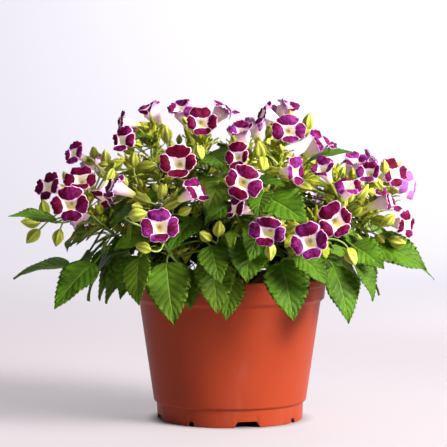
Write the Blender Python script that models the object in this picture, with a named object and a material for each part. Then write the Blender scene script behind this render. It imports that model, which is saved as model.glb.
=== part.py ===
"""Potted torenia: a bushy wishbone flower in bloom, standing in soil in a terracotta-coloured plastic pot.

Sizes are in millimetres, and MM turns them into Blender's metres where a mesh is made.
The origin is the centre of the pot's base, +Z is up, and the side that is looked at faces -Y.
An azimuth of 0 faces -Y and 90 faces +X; an elevation is the angle above the horizon.
"""

import math
from collections import namedtuple

import bmesh
import bpy
import numpy as np
from mathutils.bvhtree import BVHTree

MM = 0.001

# Pot: a rim band over a tapered wall, on a narrower foot with notches for drainage
POT_HEIGHT = 110.0
RIM_RADIUS = 75.0
RIM_LEDGE_DEPTH = 6.3
RIM_BAND_DEPTH = 16.5
RIM_CHAMFER = 2.6
WALL_TOP_RADIUS = 70.2
WALL_FOOT_RADIUS = 59.0
FOOT_RADIUS = 56.8
FOOT_HEIGHT = 13.5
FOOT_TAPER = 0.6
WALL = 1.6
FLOOR_UNDERSIDE = 6.5
FLOOR = 1.8
POT_SIDES = 36
SHARP_ANGLE = 35.0
DRAIN_RADIUS = 4.5
DRAIN_RING = 36.0
DRAIN_SIDES = 8

# The rim's section from the band's lower edge up and over the lip: radius less the rim's, height less the
# pot's
RIM_SECTION = (
    (-1.9, -RIM_BAND_DEPTH),
    (-1.0, -RIM_LEDGE_DEPTH - 0.4),
    (-0.4, -RIM_LEDGE_DEPTH + 0.2),
    (0.0, -0.8),
    (-0.7, 0.0),
    (-2.1, 0.0),
    (-2.6, -1.0),
)
RIM_BAND_THICKNESS = 3.6

# The foot's step, from below its top to above it, and how far under the chamfer the inner face turns to
# the band
STEP_BELOW, STEP_ABOVE = 0.8, 1.0
INNER_TURN = 1.5

# Notches round the foot, the two kinds in turn: width below, width above and height
NOTCH_FIRST_AZIMUTH = 13.5
NOTCH_COUNT = 8
NOTCHES = ((22.0, 15.0, 4.4), (6.5, 4.0, 3.4))

# How far the cutters reach inwards and outwards from the foot's radius, below the foot, and past the floor
CUT_INWARD, CUT_OUTWARD, CUT_BELOW, CUT_PAST = 12.0, 8.0, 1.0, 3.0

# Soil: it fills the pot to a little under the rim, with a hole for each stem
CLEARANCE = 0.35
GROUND = POT_HEIGHT - 11.0
SOIL_GAP = 0.65
SOIL_EDGE_DROP = 1.0
SOIL_DOME = 3.0
SOIL_RINGS = (55.0, 36.0, 18.0)
SOIL_SIDES = 18
STEM_HOLE_DEPTH = 26.0
STEM_HOLE_RADIUS = 2.26
STEM_FOOT_CLEARANCE = 1.35

# Lumps of the soil, each a wave: height, pitch along X, pitch along Y and start
SOIL_WAVES = (
    (0.275, 0.31, -0.27, 2.87),
    (0.275, 0.31, 0.27, -0.27),
    (0.33, 0.53, -0.41, 0.0),
    (0.275, 0.2, 0.47, 2.0),
)

# Flower of size 1: its depth from the face back to the calyx and to the stalk, and the petals' rings
FACE_TO_CALYX = 20.5
FACE_TO_STALK = 34.5
NECK_RADIUS = 2.5
NECK_SIDES = 5
TRUMPET_RADIUS, TRUMPET_DEPTH = 6.3, 4.2
THROAT_RADIUS, THROAT_DEPTH = 5.2, 1.2
PIT_DEPTH = 8.0
FACE_SIDES = 8

# The lobes of a face, anticlockwise from the upper one, each after a notch: the angle of its middle and
# half its span in degrees, its reach, how far forward it stands, and where its corners are as shares of
# the half span
LOBES = (
    (90, 50, 12.0, -1.6, (-0.72, -0.26, 0.26, 0.72)),
    (184, 39, 11.5, -0.4, (-0.62, 0, 0.62)),
    (270, 41, 11.7, 0.6, (-0.62, 0, 0.62)),
    (356, 39, 11.5, -0.4, (-0.62, 0, 0.62)),
)
LOBE_CREST, LOBE_DROP = 1.03, 0.07
NOTCH_REACH, NOTCH_FORWARD = 7.7, -1.0

# Calyx and bud: rings along the axis, placed behind the face or as shares of half a bud, with shares of
# the radius
CALYX_RADIUS = 4.3
CALYX_SIDES = 5
CALYX_PROFILE = ((30.5, 0.68), (26.0, 1.0), (FACE_TO_CALYX, 0.78))
BUD_LENGTH = 15.0
BUD_RADIUS = 4.5
BUD_PROFILE = ((-0.55, 0.72), (0.05, 1.0))

# Stalk: it starts near a foot behind its flower or bud, and tries these shares of keeping low and of rising
STALK_RADIUS = 0.8
STALK_SIDES = 3
STALK_POINTS = 3
STALK_LEAVES, STALK_ARRIVES = 0.25, 0.4
FOOT_BEHIND_FLOWER, FOOT_BEHIND_BUD = 10.0, 8.0
KEEP_BACKS = (0.5, 2.0, 0.0)
RISES = (0.1, 0.3, -0.1)
ROOT_SINK = 0.25

# Stem: upright for a little over the ground, with places along it where stalks and petioles can start
STEM_RADIUS = 1.7
STEM_TIP_RADIUS = 1.1
FORK_RADIUS = 1.32
STEM_SIDES = 4
STEM_STRAIGHT = 4.0
MAIN_STATIONS, FORK_STATIONS = 8, 5
START_PLACES = 60
START_SHORT_OF_TIP = 0.15
LOWEST_START = POT_HEIGHT + 1

# A direction that no line runs along, to start a ring's axes from
ASKEW = (0.31, 0.93, 0.17)

# Leaf
PETIOLE_SIDES = 4
PETIOLE_RADIUS = 0.75
LONGEST_PETIOLE = 42.0
PETIOLE_KEEPS_BACK = 0.3
SHORT_OF_MITRE = -3.0
LEAF_THICKNESS = 1.0
SMALL_LEAF = 41.0
TEETH = {"large": 4, "small": 3}
RIB_STATIONS = {"large": (0.36, 0.72), "small": (0.45,)}
TOOTH_DEPTH = 0.08
FIRST_TOOTH, LAST_TOOTH = 0.8, 0.9
BLADE_ARCH = 0.07
BLADE_FOLD = 0.16
BLADE_FULLNESS, BLADE_ROUNDNESS = 0.6, 0.85
TIP_START, TIP_TAPER = 0.7, 0.25
BLADE_WIDTH_SHARE = 0.68
LEAF_LENGTH = 37.0

# A leaf or bud of a list that isn't clear is nudged, by chance and by up to about this much
LEAF_BASE_NUDGE = (5, 7, 5)
LEAF_TIP_NUDGE = (8, 11, 8)
LEAF_TIP_DRIFT = 5
BUD_NUDGE = (3, 7, 3)

# The skirt of leaves over the rim: reach and height of base and tip, and the chance shifts of azimuth,
# size, the base's reach and height, the tip's reach and the tip's azimuth
SKIRT_LEAVES = 16
SKIRT_FIRST, SKIRT_LAST = 56.0, 306.0
SKIRT_BASE = (84.0, 128.0)
SKIRT_TIP = (106.0, 91.0)
SKIRT_LOOK_UP = 30.0
SKIRT_SHIFTS = (6.0, 0.16, 5.0, 7.0, 6.0, 10.0)

# The spiral of leaves over a dome inside the flowers, and the chance shifts of azimuth, elevation,
# distance from the middle, turn off the downward way, outward share of the heading and length
DOME_LEAVES = 56
DOME_HEIGHT = 112.0
DOME_REACH = 122.0
DOME_RISE = 96.0
DOME_FILL = 0.93
DOME_OUTWARD = 0.35
DOME_PIVOT = 0.3
DOME_TOP_SHRINK = 0.22
DOME_LOOK_UP = 12.0
DOME_SHIFTS = (8.0, 3.0, 0.09, 55.0, 0.25, 0.14)
GOLDEN_ANGLE = 137.508

# A spread leaf's tip stays within these half lengths along X and Y and above this height
SPREAD_X, SPREAD_Y, SPREAD_LOWEST = 158.0, 136.0, 96.0

# Tries for each item, and how much fatter an item is made when it is tested against all that is there
# already
SEED = 7
TRIES = 12
TEST_GROWTH = 0.45

GREEN = ("leaf_green", (0.16, 0.32, 0.05, 1), 0.5)
BURGUNDY = ("petal_burgundy", (0.33, 0.02, 0.14, 1), 0.45)
TERRACOTTA = ("pot_terracotta", (0.55, 0.12, 0.04, 1), 0.38)
EARTH = ("potting_soil", (0.05, 0.035, 0.025, 1), 0.95)

Shoot = namedtuple("Shoot", "stem points")
Bloom = namedtuple("Bloom", "stem x y z azimuth elevation roll size")
Bud = namedtuple("Bud", "stem x y z azimuth elevation size")
Leaf = namedtuple("Leaf", "stem base tip width azimuth elevation")

# Each stem rises from the soil and arches out to its tip; the first of a name is the main one, the rest
# fork off
SHOOTS = (
    Shoot("left", ((-24, -8), (-58, -14, 124), (-92, -20, 146), (-110, -24, 163))),
    Shoot("upper_left", ((-16, -16), (-38, -24, 150), (-56, -26, 188), (-60, -24, 212))),
    Shoot("upper_left", ((-41, -24, 156), (-56, -38, 166), (-64, -52, 170))),
    Shoot("top", ((-5, -14), (-12, -30, 150), (-17, -40, 186), (-20, -34, 211))),
    Shoot("top", ((-14, -34, 163), (-24, -54, 172), (-32, -70, 182))),
    Shoot("top", ((-12, -28, 150), (-20, -10, 182), (-24, 10, 208))),
    Shoot("front_left", ((-13, -28), (-28, -54, 117), (-42, -78, 130), (-50, -92, 146))),
    Shoot("centre", ((5, -25), (8, -46, 138), (8, -66, 172), (10, -62, 203))),
    Shoot("crown", ((12, -6), (24, -18, 150), (36, -30, 188), (40, -32, 211))),
    Shoot("crown", ((31, -25, 172), (44, -44, 178), (52, -58, 184))),
    Shoot("crown", ((24, -18, 150), (30, 2, 182), (32, 20, 206))),
    Shoot("front_right", ((18, -24), (36, -54, 117), (50, -78, 128), (60, -88, 144))),
    Shoot("right", ((26, -12), (54, -28, 124), (76, -42, 152), (84, -48, 176))),
    Shoot("far_right", ((27, 3), (66, 0, 122), (96, -10, 142), (114, -16, 164))),
    Shoot("back_left", ((-20, 12), (-50, 36, 128), (-74, 54, 160), (-78, 58, 188))),
    Shoot("back", ((0, 18), (-2, 52, 130), (-4, 76, 162), (-2, 80, 190))),
    Shoot("back", ((-2, 52, 130), (2, 46, 170), (6, 38, 206))),
    Shoot("back_right", ((18, 18), (48, 44, 128), (74, 58, 156), (86, 60, 180))),
)

BLOOMS = (
    Bloom("left", -140, -22, 181, -40, 15, 0, 0.98),
    Bloom("left", -121, -6, 206, -35, 20, 10, 0.80),
    Bloom("left", -112, -48, 187, -4, 28, 0, 1.00),
    Bloom("left", -117, -86, 169, -8, 0, 0, 1.10),
    Bloom("left", -96, -60, 172, -40, -58, 0, 0.75),
    Bloom("upper_left", -80, -62, 216, -30, 10, 0, 0.85),
    Bloom("upper_left", -84, -24, 229, -80, 8, 0, 0.80),
    Bloom("upper_left", -62, -14, 241, -60, 58, 0, 0.95),
    Bloom("upper_left", -86, -92, 183, -70, 24, 0, 0.95),
    Bloom("top", -38, -28, 240, -30, 52, 0, 0.95),
    Bloom("top", -21, -76, 229, 5, 5, 0, 0.95),
    Bloom("top", -4, -30, 240, 55, 45, 0, 0.92),
    Bloom("top", -37, -110, 200, -8, 14, 0, 1.10),
    Bloom("top", -22, -112, 180, 62, 25, 0, 0.92),
    Bloom("front_left", -50, -132, 155, 0, 8, 0, 1.10),
    Bloom("centre", 9, -128, 186, -6, 2, -25, 1.10),
    Bloom("centre", 8, -90, 223, -20, 48, 0, 0.90),
    Bloom("centre", 5, -111, 204, -15, 8, 0, 0.80),
    Bloom("centre", 2, -112, 168, -62, 14, 0, 0.88),
    Bloom("crown", 17, -40, 229, -120, 72, 0, 0.85),
    Bloom("crown", 43, -90, 223, 5, 8, 0, 1.00),
    Bloom("crown", 44, -30, 242, 50, 50, 0, 0.95),
    Bloom("crown", 24, -66, 236, -60, 25, 0, 0.85),
    Bloom("crown", 69, -66, 215, 62, 38, 0, 0.95),
    Bloom("crown", 48, -104, 193, 48, 0, 0, 0.78),
    Bloom("front_right", 76, -114, 158, 6, 0, 30, 1.05),
    Bloom("front_right", 56, -128, 144, -8, 0, 10, 1.10),
    Bloom("front_right", 26, -134, 151, -22, -5, -10, 1.00),
    Bloom("right", 67, -92, 196, -30, 42, 0, 0.85),
    Bloom("right", 94, -45, 200, 30, 52, 0, 0.90),
    Bloom("right", 86, -98, 184, 12, 38, 0, 0.95),
    Bloom("right", 101, -78, 193, -30, 30, 0, 0.78),
    Bloom("far_right", 124, -44, 191, 38, 15, 0, 0.95),
    Bloom("far_right", 139, -16, 180, 52, -8, 0, 0.85),
    Bloom("far_right", 121, -48, 171, 72, 20, 0, 1.00),
    Bloom("far_right", 133, -50, 152, 52, -6, 0, 0.95),
    Bloom("back_left", -122, 42, 178, -120, 12, 0, 1.00),
    Bloom("back_left", -92, 92, 164, -150, 5, 10, 1.05),
    Bloom("back_left", -70, 66, 222, -135, 42, 0, 0.95),
    Bloom("back_left", -52, 104, 196, -165, 18, 0, 1.00),
    Bloom("back", -14, 130, 168, 180, 2, -10, 1.10),
    Bloom("back", 8, 92, 222, 175, 36, 0, 0.95),
    Bloom("back", 24, 118, 190, 165, 15, 12, 1.00),
    Bloom("back_right", 66, 108, 170, 152, 6, 0, 1.05),
    Bloom("back_right", 78, 76, 210, 140, 34, 0, 0.95),
    Bloom("back_right", 118, 56, 172, 118, 10, 0, 1.00),
    Bloom("back", -30, 56, 236, 170, 60, 0, 0.90),
    Bloom("back", 36, 62, 233, 150, 60, 0, 0.95),
    Bloom("far_right", 112, 22, 200, 100, 38, 0, 0.90),
    Bloom("back_left", -112, 26, 199, -100, 30, 0, 0.90),
    Bloom("back_left", -52, 124, 156, -160, 0, 0, 1.00),
    Bloom("back", 30, 134, 148, 170, -5, 0, 1.00),
    Bloom("back_right", 100, 92, 152, 135, 0, 0, 1.00),
    Bloom("back_left", -122, 70, 150, -125, -5, 0, 0.95),
)

# With 60 nodes in all, the flowers past this number share the node of the stem that carries them
BLOOMS_WITH_A_NODE = 46
SHARED_SINK = -1.2

BUDS = (
    Bud("left", -140, -34, 164, -60, 75, 0.95),
    Bud("left", -150, -40, 154, -80, 0, 1.05),
    Bud("left", -148, -44, 143, -70, -45, 1.00),
    Bud("left", -129, -46, 142, -40, -70, 0.95),
    Bud("upper_left", -94, -30, 202, -30, 80, 0.90),
    Bud("upper_left", -86, -40, 197, 60, 20, 1.05),
    Bud("upper_left", -72, -44, 201, 10, 80, 0.85),
    Bud("upper_left", -62, -40, 196, 80, 10, 1.00),
    Bud("top", -48, -44, 220, -20, 75, 1.00),
    Bud("top", -22, -84, 205, 20, -50, 0.90),
    Bud("front_left", -62, -118, 139, -60, 20, 0.90),
    Bud("front_left", -66, -104, 162, 70, 10, 1.05),
    Bud("centre", -8, -104, 152, 10, 60, 0.95),
    Bud("centre", -14, -104, 148, -50, 30, 0.85),
    Bud("crown", 22, -84, 208, -20, 60, 1.10),
    Bud("crown", 24, -92, 198, 0, -40, 1.00),
    Bud("crown", 59, -40, 229, 40, 80, 0.95),
    Bud("crown", 54, -84, 182, 60, -20, 0.95),
    Bud("front_right", 44, -112, 152, 40, 20, 1.00),
    Bud("front_right", 88, -96, 131, 30, -50, 1.05),
    Bud("front_right", 29, -118, 136, 0, -75, 0.90),
    Bud("right", 98, -72, 178, 60, 50, 0.90),
    Bud("far_right", 124, -46, 140, 50, -10, 1.05),
    Bud("far_right", 118, -56, 156, 60, 40, 0.95),
    Bud("back_left", -104, 70, 190, -140, 50, 1.00),
    Bud("back_left", -84, 84, 142, -150, -30, 1.00),
    Bud("back", -24, 108, 214, -170, 60, 1.00),
    Bud("back", 10, 112, 150, 175, -20, 0.95),
    Bud("back_right", 92, 88, 188, 130, 45, 1.00),
    Bud("back_right", 100, 78, 146, 125, -20, 1.05),
)

# The leaves that show best, each from the base of its blade to its tip, with the way that its upper face
# looks
LEAVES = (
    Leaf("front_left", (-46, -92, 127), (-40, -104, 82), 33, -10, 20),
    Leaf("front_left", (-13, -94, 130), (-9, -106, 90), 29, 5, 25),
    Leaf("front_left", (-31, -84, 121), (-29, -98, 92), 22, 0, 30),
    Leaf("centre", (3, -84, 116), (-3, -93, 84), 22, -10, 15),
    Leaf("front_right", (37, -90, 127), (46, -106, 85), 34, 10, 25),
    Leaf("front_right", (76, -74, 123), (87, -84, 81), 27, 25, 20),
    Leaf("right", (90, -68, 138), (113, -82, 121), 26, 0, 40),
    Leaf("far_right", (106, -42, 138), (148, -46, 118), 34, 0, 50),
    Leaf("far_right", (119, 24, 132), (163, 44, 103), 30, -20, 65),
    Leaf("left", (-120, -44, 121), (-164, -38, 111), 28, -10, 75),
    Leaf("left", (-100, -72, 125), (-128, -90, 92), 28, -20, 35),
    Leaf("left", (-64, -76, 130), (-80, -94, 100), 24, -25, 30),
    Leaf("left", (-128, -58, 154), (-164, -68, 159), 22, -20, 65),
    Leaf("centre", (26, -98, 174), (54, -126, 157), 35, 0, 42),
    Leaf("centre", (24, -104, 178), (20, -126, 160), 20, -25, 35),
    Leaf("top", (-17, -74, 205), (1, -98, 192), 27, 0, 50),
    Leaf("centre", (-6, -92, 184), (-16, -112, 160), 29, -12, 25),
    Leaf("centre", (14, -100, 143), (12, -116, 114), 33, 5, 15),
    Leaf("crown", (58, -54, 199), (92, -62, 206), 26, -5, 75),
    Leaf("upper_left", (-56, -34, 216), (-76, -46, 216), 18, -10, 70),
)


def unit(v):
    """The vector of length 1 along v."""
    return v / np.linalg.norm(v)


def facing(azimuth, elevation):
    """The direction of that azimuth and elevation, in degrees."""
    a, e = math.radians(azimuth), math.radians(elevation)
    return np.array((math.sin(a) * math.cos(e), -math.cos(a) * math.cos(e), math.sin(e)))


def bloom_axes(azimuth, elevation, roll=0.0):
    """A flower's axes as rows: its right and up as the onlooker sees its face, and the way that it faces."""
    forward = facing(azimuth, elevation)
    up = facing(azimuth, elevation + 90)
    side = np.cross(up, forward)
    r = math.radians(roll)
    return np.array(
        (side * math.cos(r) + up * math.sin(r), up * math.cos(r) - side * math.sin(r), forward)
    )


def smooth_line(points, count):
    """A Catmull-Rom curve through the points, read at count places spaced evenly by parameter."""
    p = np.array(points, float)
    p = np.vstack((2 * p[0] - p[1], p, 2 * p[-1] - p[-2]))
    t = np.linspace(0, len(p) - 3, count)
    k = np.minimum(t.astype(int), len(p) - 4)
    f = (t - k)[:, None]
    a, b, c, d = p[k], p[k + 1], p[k + 2], p[k + 3]
    return 0.5 * (2 * b + (c - a) * f + (2 * a - 5 * b + 4 * c - d) * f**2 + (3 * b - a - 3 * c + d) * f**3)


def stalk_line(start, end, out, rise):
    """A cubic from start to end that arrives heading along out; rise lifts its first half by a share of it."""
    start = start - unit(end - start) * ROOT_SINK
    reach = np.linalg.norm(end - start)
    handle_a = start + (end - start) * STALK_LEAVES + np.array((0, 0, rise * reach))
    handle_b = end - out * reach * STALK_ARRIVES
    t = np.linspace(0, 1, STALK_POINTS)[:, None]
    return (
        start * (1 - t) ** 3
        + handle_a * 3 * t * (1 - t) ** 2
        + handle_b * 3 * t**2 * (1 - t)
        + end * t**3
    )


def rings_along(line, radii, sides):
    """Regular polygons square to a line, carried along it with no twist."""
    step = np.gradient(line, axis=0)
    step /= np.linalg.norm(step, axis=1)[:, None]
    across = np.cross(step[0], ASKEW)
    rings = []
    angles = np.arange(sides) * 2 * math.pi / sides
    for centre, along, radius in zip(line, step, radii):
        across = unit(across - along * (across @ along))
        other = np.cross(along, across)
        rings.append(
            centre + radius * (np.outer(np.cos(angles), across) + np.outer(np.sin(angles), other))
        )
    return rings


def bridge(n, m, a, b):
    """Triangles between closed rings of n and m points that start at a and b, going round both evenly."""
    if n == 1:
        return [(a, b + j, b + (j + 1) % m) for j in range(m)]
    if m == 1:
        return [(a + i, a + (i + 1) % n, b) for i in range(n)]
    faces, i, j = [], 0, 0
    while i < n or j < m:
        if j == m or (i < n and (i + 1) * m <= (j + 1) * n):
            faces.append((a + i, a + (i + 1) % n, b + j % m))
            i += 1
        else:
            faces.append((a + i % n, b + (j + 1) % m, b + j))
            j += 1
    return faces


def loft(rings):
    """A closed shape through rings of points; a ring of one point is an apex, and an open end is capped."""
    points = np.vstack(rings)
    starts = np.cumsum([0] + [len(r) for r in rings])
    faces = []
    for k in range(len(rings) - 1):
        faces += bridge(len(rings[k]), len(rings[k + 1]), starts[k], starts[k + 1])
    for k in (0, len(rings) - 1):
        n = len(rings[k])
        faces += [(starts[k], starts[k] + i, starts[k] + i + 1) for i in range(1, n - 1)]
    return points, faces


def stem_solid(line, thick, thin):
    """A square stem that tapers along its line."""
    return loft(rings_along(line, np.linspace(thick, thin, len(line)), STEM_SIDES))


def ribbed_head(stalk, centre, axes, profile):
    """Five-sided rings along a flower's axis that start where the stalk's last ring does."""
    toward = axes @ (stalk[-1][0] - stalk[-1].mean(axis=0))
    angles = math.atan2(toward[1], toward[0]) + np.arange(CALYX_SIDES) * 2 * math.pi / CALYX_SIDES
    rings = []
    for forward, radius in profile:
        local = np.stack((radius * np.cos(angles), radius * np.sin(angles), forward + 0 * angles), axis=1)
        rings.append(centre + local @ axes)
    return rings


def calyx_solid(bloom, start, rise, grow=0.0):
    """The stalk and ribbed calyx of an open flower, ending in a flat mouth behind the petals."""
    axes = bloom_axes(bloom.azimuth, bloom.elevation, bloom.roll)
    centre = np.array((bloom.x, bloom.y, bloom.z), float)
    size = bloom.size
    line = stalk_line(start, centre - axes[2] * FACE_TO_STALK * size, axes[2], rise)
    stalk = rings_along(line, np.full(len(line), STALK_RADIUS + grow), STALK_SIDES)
    r = CALYX_RADIUS * size + grow
    profile = [(-back * size, r * share) for back, share in CALYX_PROFILE]
    return loft(stalk + ribbed_head(stalk, centre, axes, profile))


def bud_solid(bud, start, rise, grow=0.0):
    """The stalk and pointed calyx of a flower that hasn't opened."""
    axes = bloom_axes(bud.azimuth, bud.elevation)
    centre = np.array((bud.x, bud.y, bud.z), float)
    half = BUD_LENGTH * bud.size / 2
    line = stalk_line(start, centre - axes[2] * half, axes[2], rise)
    stalk = rings_along(line, np.full(len(line), STALK_RADIUS + grow), STALK_SIDES)
    r = BUD_RADIUS * bud.size + grow
    profile = [(half * forward, r * share) for forward, share in BUD_PROFILE]
    return loft([*stalk, *ribbed_head(stalk, centre, axes, profile), (centre + axes[2] * half)[None, :]])


def petal_rim():
    """The face's outline as angle, radius and forward reach: four rounded lobes, the upper one the widest."""
    rim = []
    for middle, half, reach, forward, shares in LOBES:
        rim.append((middle - half, NOTCH_REACH, NOTCH_FORWARD))
        rim += [(middle + half * s, reach * (LOBE_CREST - LOBE_DROP * abs(s)), forward) for s in shares]
    return np.array(rim)


def corolla_solid(bloom, grow=0.0, gap=CLEARANCE):
    """One piece of petals: a tube that opens like a trumpet to a face of four lobes, with a throat."""
    axes = bloom_axes(bloom.azimuth, bloom.elevation, bloom.roll)
    centre = np.array((bloom.x, bloom.y, bloom.z), float)
    s = bloom.size

    def ring(angles, radius, forward):
        a = np.radians(angles)
        local = np.stack((radius * np.cos(a), radius * np.sin(a), forward + 0 * a), axis=1)
        return centre + (local * s) @ axes

    rim = petal_rim()
    neck = rim[0, 0] + np.arange(NECK_SIDES) * 360 / NECK_SIDES
    trumpet = rim[0, 0] + np.arange(FACE_SIDES) * 360 / FACE_SIDES
    wide = grow / s
    rings = [
        ring(neck, NECK_RADIUS + wide, gap / s - FACE_TO_CALYX),
        ring(trumpet, TRUMPET_RADIUS + wide, -TRUMPET_DEPTH - wide),
        ring(rim[:, 0], rim[:, 1] + wide, rim[:, 2]),
        ring(trumpet, THROAT_RADIUS, -THROAT_DEPTH + wide),
        (centre - axes[2] * PIT_DEPTH * s)[None, :],
    ]
    return loft(rings)


def half_width(u):
    """Half the blade's width along it as a share of the widest: round near the base, long at the tip."""
    u = np.clip(u, 0, 1)
    taper = np.clip((u - TIP_START) / (1 - TIP_START), 0, 1) ** 2
    return np.sin(math.pi * u**BLADE_FULLNESS) ** BLADE_ROUNDNESS * (1 - TIP_TAPER * taper)


def blade_point(leaf, u, v, lift=0.0):
    """A point of the blade: u from base to tip, v from -1 to 1 across, lift off its middle surface."""
    base, tip = np.array(leaf.base, float), np.array(leaf.tip, float)
    along = tip - base
    length = np.linalg.norm(along)
    along /= length
    look = facing(leaf.azimuth, leaf.elevation)
    normal = unit(look - along * (look @ along))
    side = np.cross(along, normal)
    wide = v * half_width(u) * leaf.width / 2
    rise = BLADE_ARCH * length * 4 * u * (1 - u) + BLADE_FOLD * abs(wide) + lift
    return base + along * length * u + side * wide + normal * rise


def leaf_solid(leaf, start, grow=0.0):
    """A toothed blade, thick at its rib and thin at its edge, on a square petiole that starts in the stem."""
    base, tip = np.array(leaf.base, float), np.array(leaf.tip, float)
    along = unit(tip - base)
    look = facing(leaf.azimuth, leaf.elevation)
    normal = unit(look - along * (look @ along))
    side = np.cross(along, normal)
    heading = unit(base - start)
    r = PETIOLE_RADIUS + grow
    points = []
    for end, way in ((start - heading * ROOT_SINK, heading), (base, unit(heading + along))):
        out = unit(side - way * (side @ way))
        top = np.cross(out, way)
        points += [end + corner * r for corner in (top, out, -top, -out)]
    faces = [(0, 1, 2), (0, 2, 3)]
    last = PETIOLE_SIDES
    for i in range(last):
        j = (i + 1) % last
        faces += [(i, j, last + j), (i, last + j, last + i)]
    tip_index = len(points)
    points.append(tip)
    thick = LEAF_THICKNESS / 2 + grow
    size = "large" if np.linalg.norm(tip - base) > SMALL_LEAF else "small"
    teeth, stations = TEETH[size], RIB_STATIONS[size]
    ribs = {}
    for sign in (1, -1):
        ribs[sign] = list(range(len(points), len(points) + len(stations)))
        points += [blade_point(leaf, u, 0, sign * thick) for u in stations]
    edge_places = (np.arange(2 * teeth) + FIRST_TOOTH) / (2 * teeth + LAST_TOOTH)
    edges = {}
    for sign in (1, -1):
        edges[sign] = list(range(len(points), len(points) + 2 * teeth))
        for k, u in enumerate(edge_places):
            tooth = 1 + (TOOTH_DEPTH if k % 2 else -TOOTH_DEPTH) + grow / leaf.width
            points.append(blade_point(leaf, u, sign * tooth))
    places_rib = (0.0, *stations, 1.0)
    places_edge = (0.0, *edge_places, 1.0)
    for sign, rim_corner in ((1, last + 1), (-1, last + 3)):
        for face, rib_corner in ((1, last), (-1, last + 2)):
            inner = [rib_corner, *ribs[face], tip_index]
            outer = [rim_corner, *edges[sign], tip_index]
            i = j = 0
            while i < len(inner) - 1 or j < len(outer) - 1:
                if j == len(outer) - 1 or (i < len(inner) - 1 and places_rib[i + 1] < places_edge[j + 1]):
                    corner = (inner[i], inner[i + 1], outer[j])
                    i += 1
                else:
                    corner = (inner[i], outer[j + 1], outer[j])
                    j += 1
                if len(set(corner)) == 3:
                    faces.append(corner)
    return np.array(points), faces


def pot_inside():
    """The pot's inner face as radius and height, from the floor's edge up to the rim's band."""
    band = POT_HEIGHT - RIM_BAND_DEPTH
    return (
        (FOOT_RADIUS - FOOT_TAPER - WALL, FLOOR_UNDERSIDE + FLOOR),
        (WALL_FOOT_RADIUS - WALL, FOOT_HEIGHT),
        (WALL_TOP_RADIUS - WALL, band - RIM_CHAMFER - INNER_TURN),
        (RIM_RADIUS - RIM_BAND_THICKNESS, band),
    )


def pot_profile():
    """The pot's section as radius and height: from the foot's inner side, up outside, over the rim, down."""
    return (
        (FOOT_RADIUS - FOOT_TAPER - WALL, FLOOR_UNDERSIDE),
        (FOOT_RADIUS - FOOT_TAPER - WALL, 0.0),
        (FOOT_RADIUS - FOOT_TAPER, 0.0),
        (FOOT_RADIUS, FOOT_HEIGHT - STEP_BELOW),
        (WALL_FOOT_RADIUS, FOOT_HEIGHT + STEP_ABOVE),
        (WALL_TOP_RADIUS, POT_HEIGHT - RIM_BAND_DEPTH - RIM_CHAMFER),
        *((RIM_RADIUS + r, POT_HEIGHT + z) for r, z in RIM_SECTION),
        *reversed(pot_inside()),
    )


def turned(profile, sides, closes_below, closes_above):
    """A shape turned about Z: rings of the profile's points, with a flat or pointed middle at each end."""
    angles = np.arange(sides) * 2 * math.pi / sides
    rings = [
        np.stack((r * np.cos(angles), r * np.sin(angles), np.full(sides, z)), axis=1) for r, z in profile
    ]
    rings.insert(0, np.array([(0, 0, closes_below)], float))
    rings.append(np.array([(0, 0, closes_above)], float))
    return loft(rings)


def pot_solid_points():
    """The pot before its notches and drain holes are cut."""
    return turned(pot_profile(), POT_SIDES, FLOOR_UNDERSIDE, FLOOR_UNDERSIDE + FLOOR)


def soil_level(x, y):
    """Height of the soil's top: a low dome with lumps, as a sum of waves."""
    dome = SOIL_DOME * (1 - (x * x + y * y) / RIM_RADIUS**2)
    return GROUND + dome + sum(high * math.sin(a * x + b * y + start) for high, a, b, start in SOIL_WAVES)


def soil_solid_points():
    """The soil's body: the pot's inside less a small gap, under a lumpy top."""
    sides = [(r - SOIL_GAP, z) for r, z in pot_inside()]
    bottom = sides[0][1] + CLEARANCE
    sides[0] = (sides[0][0], bottom)
    edge = GROUND - SOIL_EDGE_DROP
    profile = [*sides, (sides[-1][0], edge), *((r, edge) for r in SOIL_RINGS)]
    points, faces = turned(profile, SOIL_SIDES, bottom, edge)
    for point in points[1 + (len(sides) + 1) * SOIL_SIDES :]:
        point[2] = soil_level(point[0], point[1])
    return points, faces


def make_mesh(name, points, faces):
    """A mesh in metres whose faces point outwards."""
    mesh = bpy.data.meshes.new(name)
    mesh.from_pydata([tuple(p * MM) for p in points], [], [tuple(int(i) for i in f) for f in faces])
    work = bmesh.new()
    work.from_mesh(mesh)
    bmesh.ops.recalc_face_normals(work, faces=work.faces)
    if work.calc_volume(signed=True) < 0:
        bmesh.ops.reverse_faces(work, faces=work.faces)
    work.to_mesh(mesh)
    work.free()
    return mesh


def make_object(name, points, faces, collection=None):
    """An object of that mesh, in the scene or in a collection of its own."""
    made = bpy.data.objects.new(name, make_mesh(name, points, faces))
    (collection or bpy.context.scene.collection).objects.link(made)
    return made


def paint(made, look):
    """Gives the object its material, made once for each finish."""
    name, colour, roughness = look
    material = bpy.data.materials.get(name)
    if material is None:
        material = bpy.data.materials.new(name)
        material.use_nodes = True
        shader = material.node_tree.nodes["Principled BSDF"]
        shader.inputs["Base Color"].default_value = colour
        shader.inputs["Roughness"].default_value = roughness
    made.data.materials.clear()
    made.data.materials.append(material)


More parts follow.
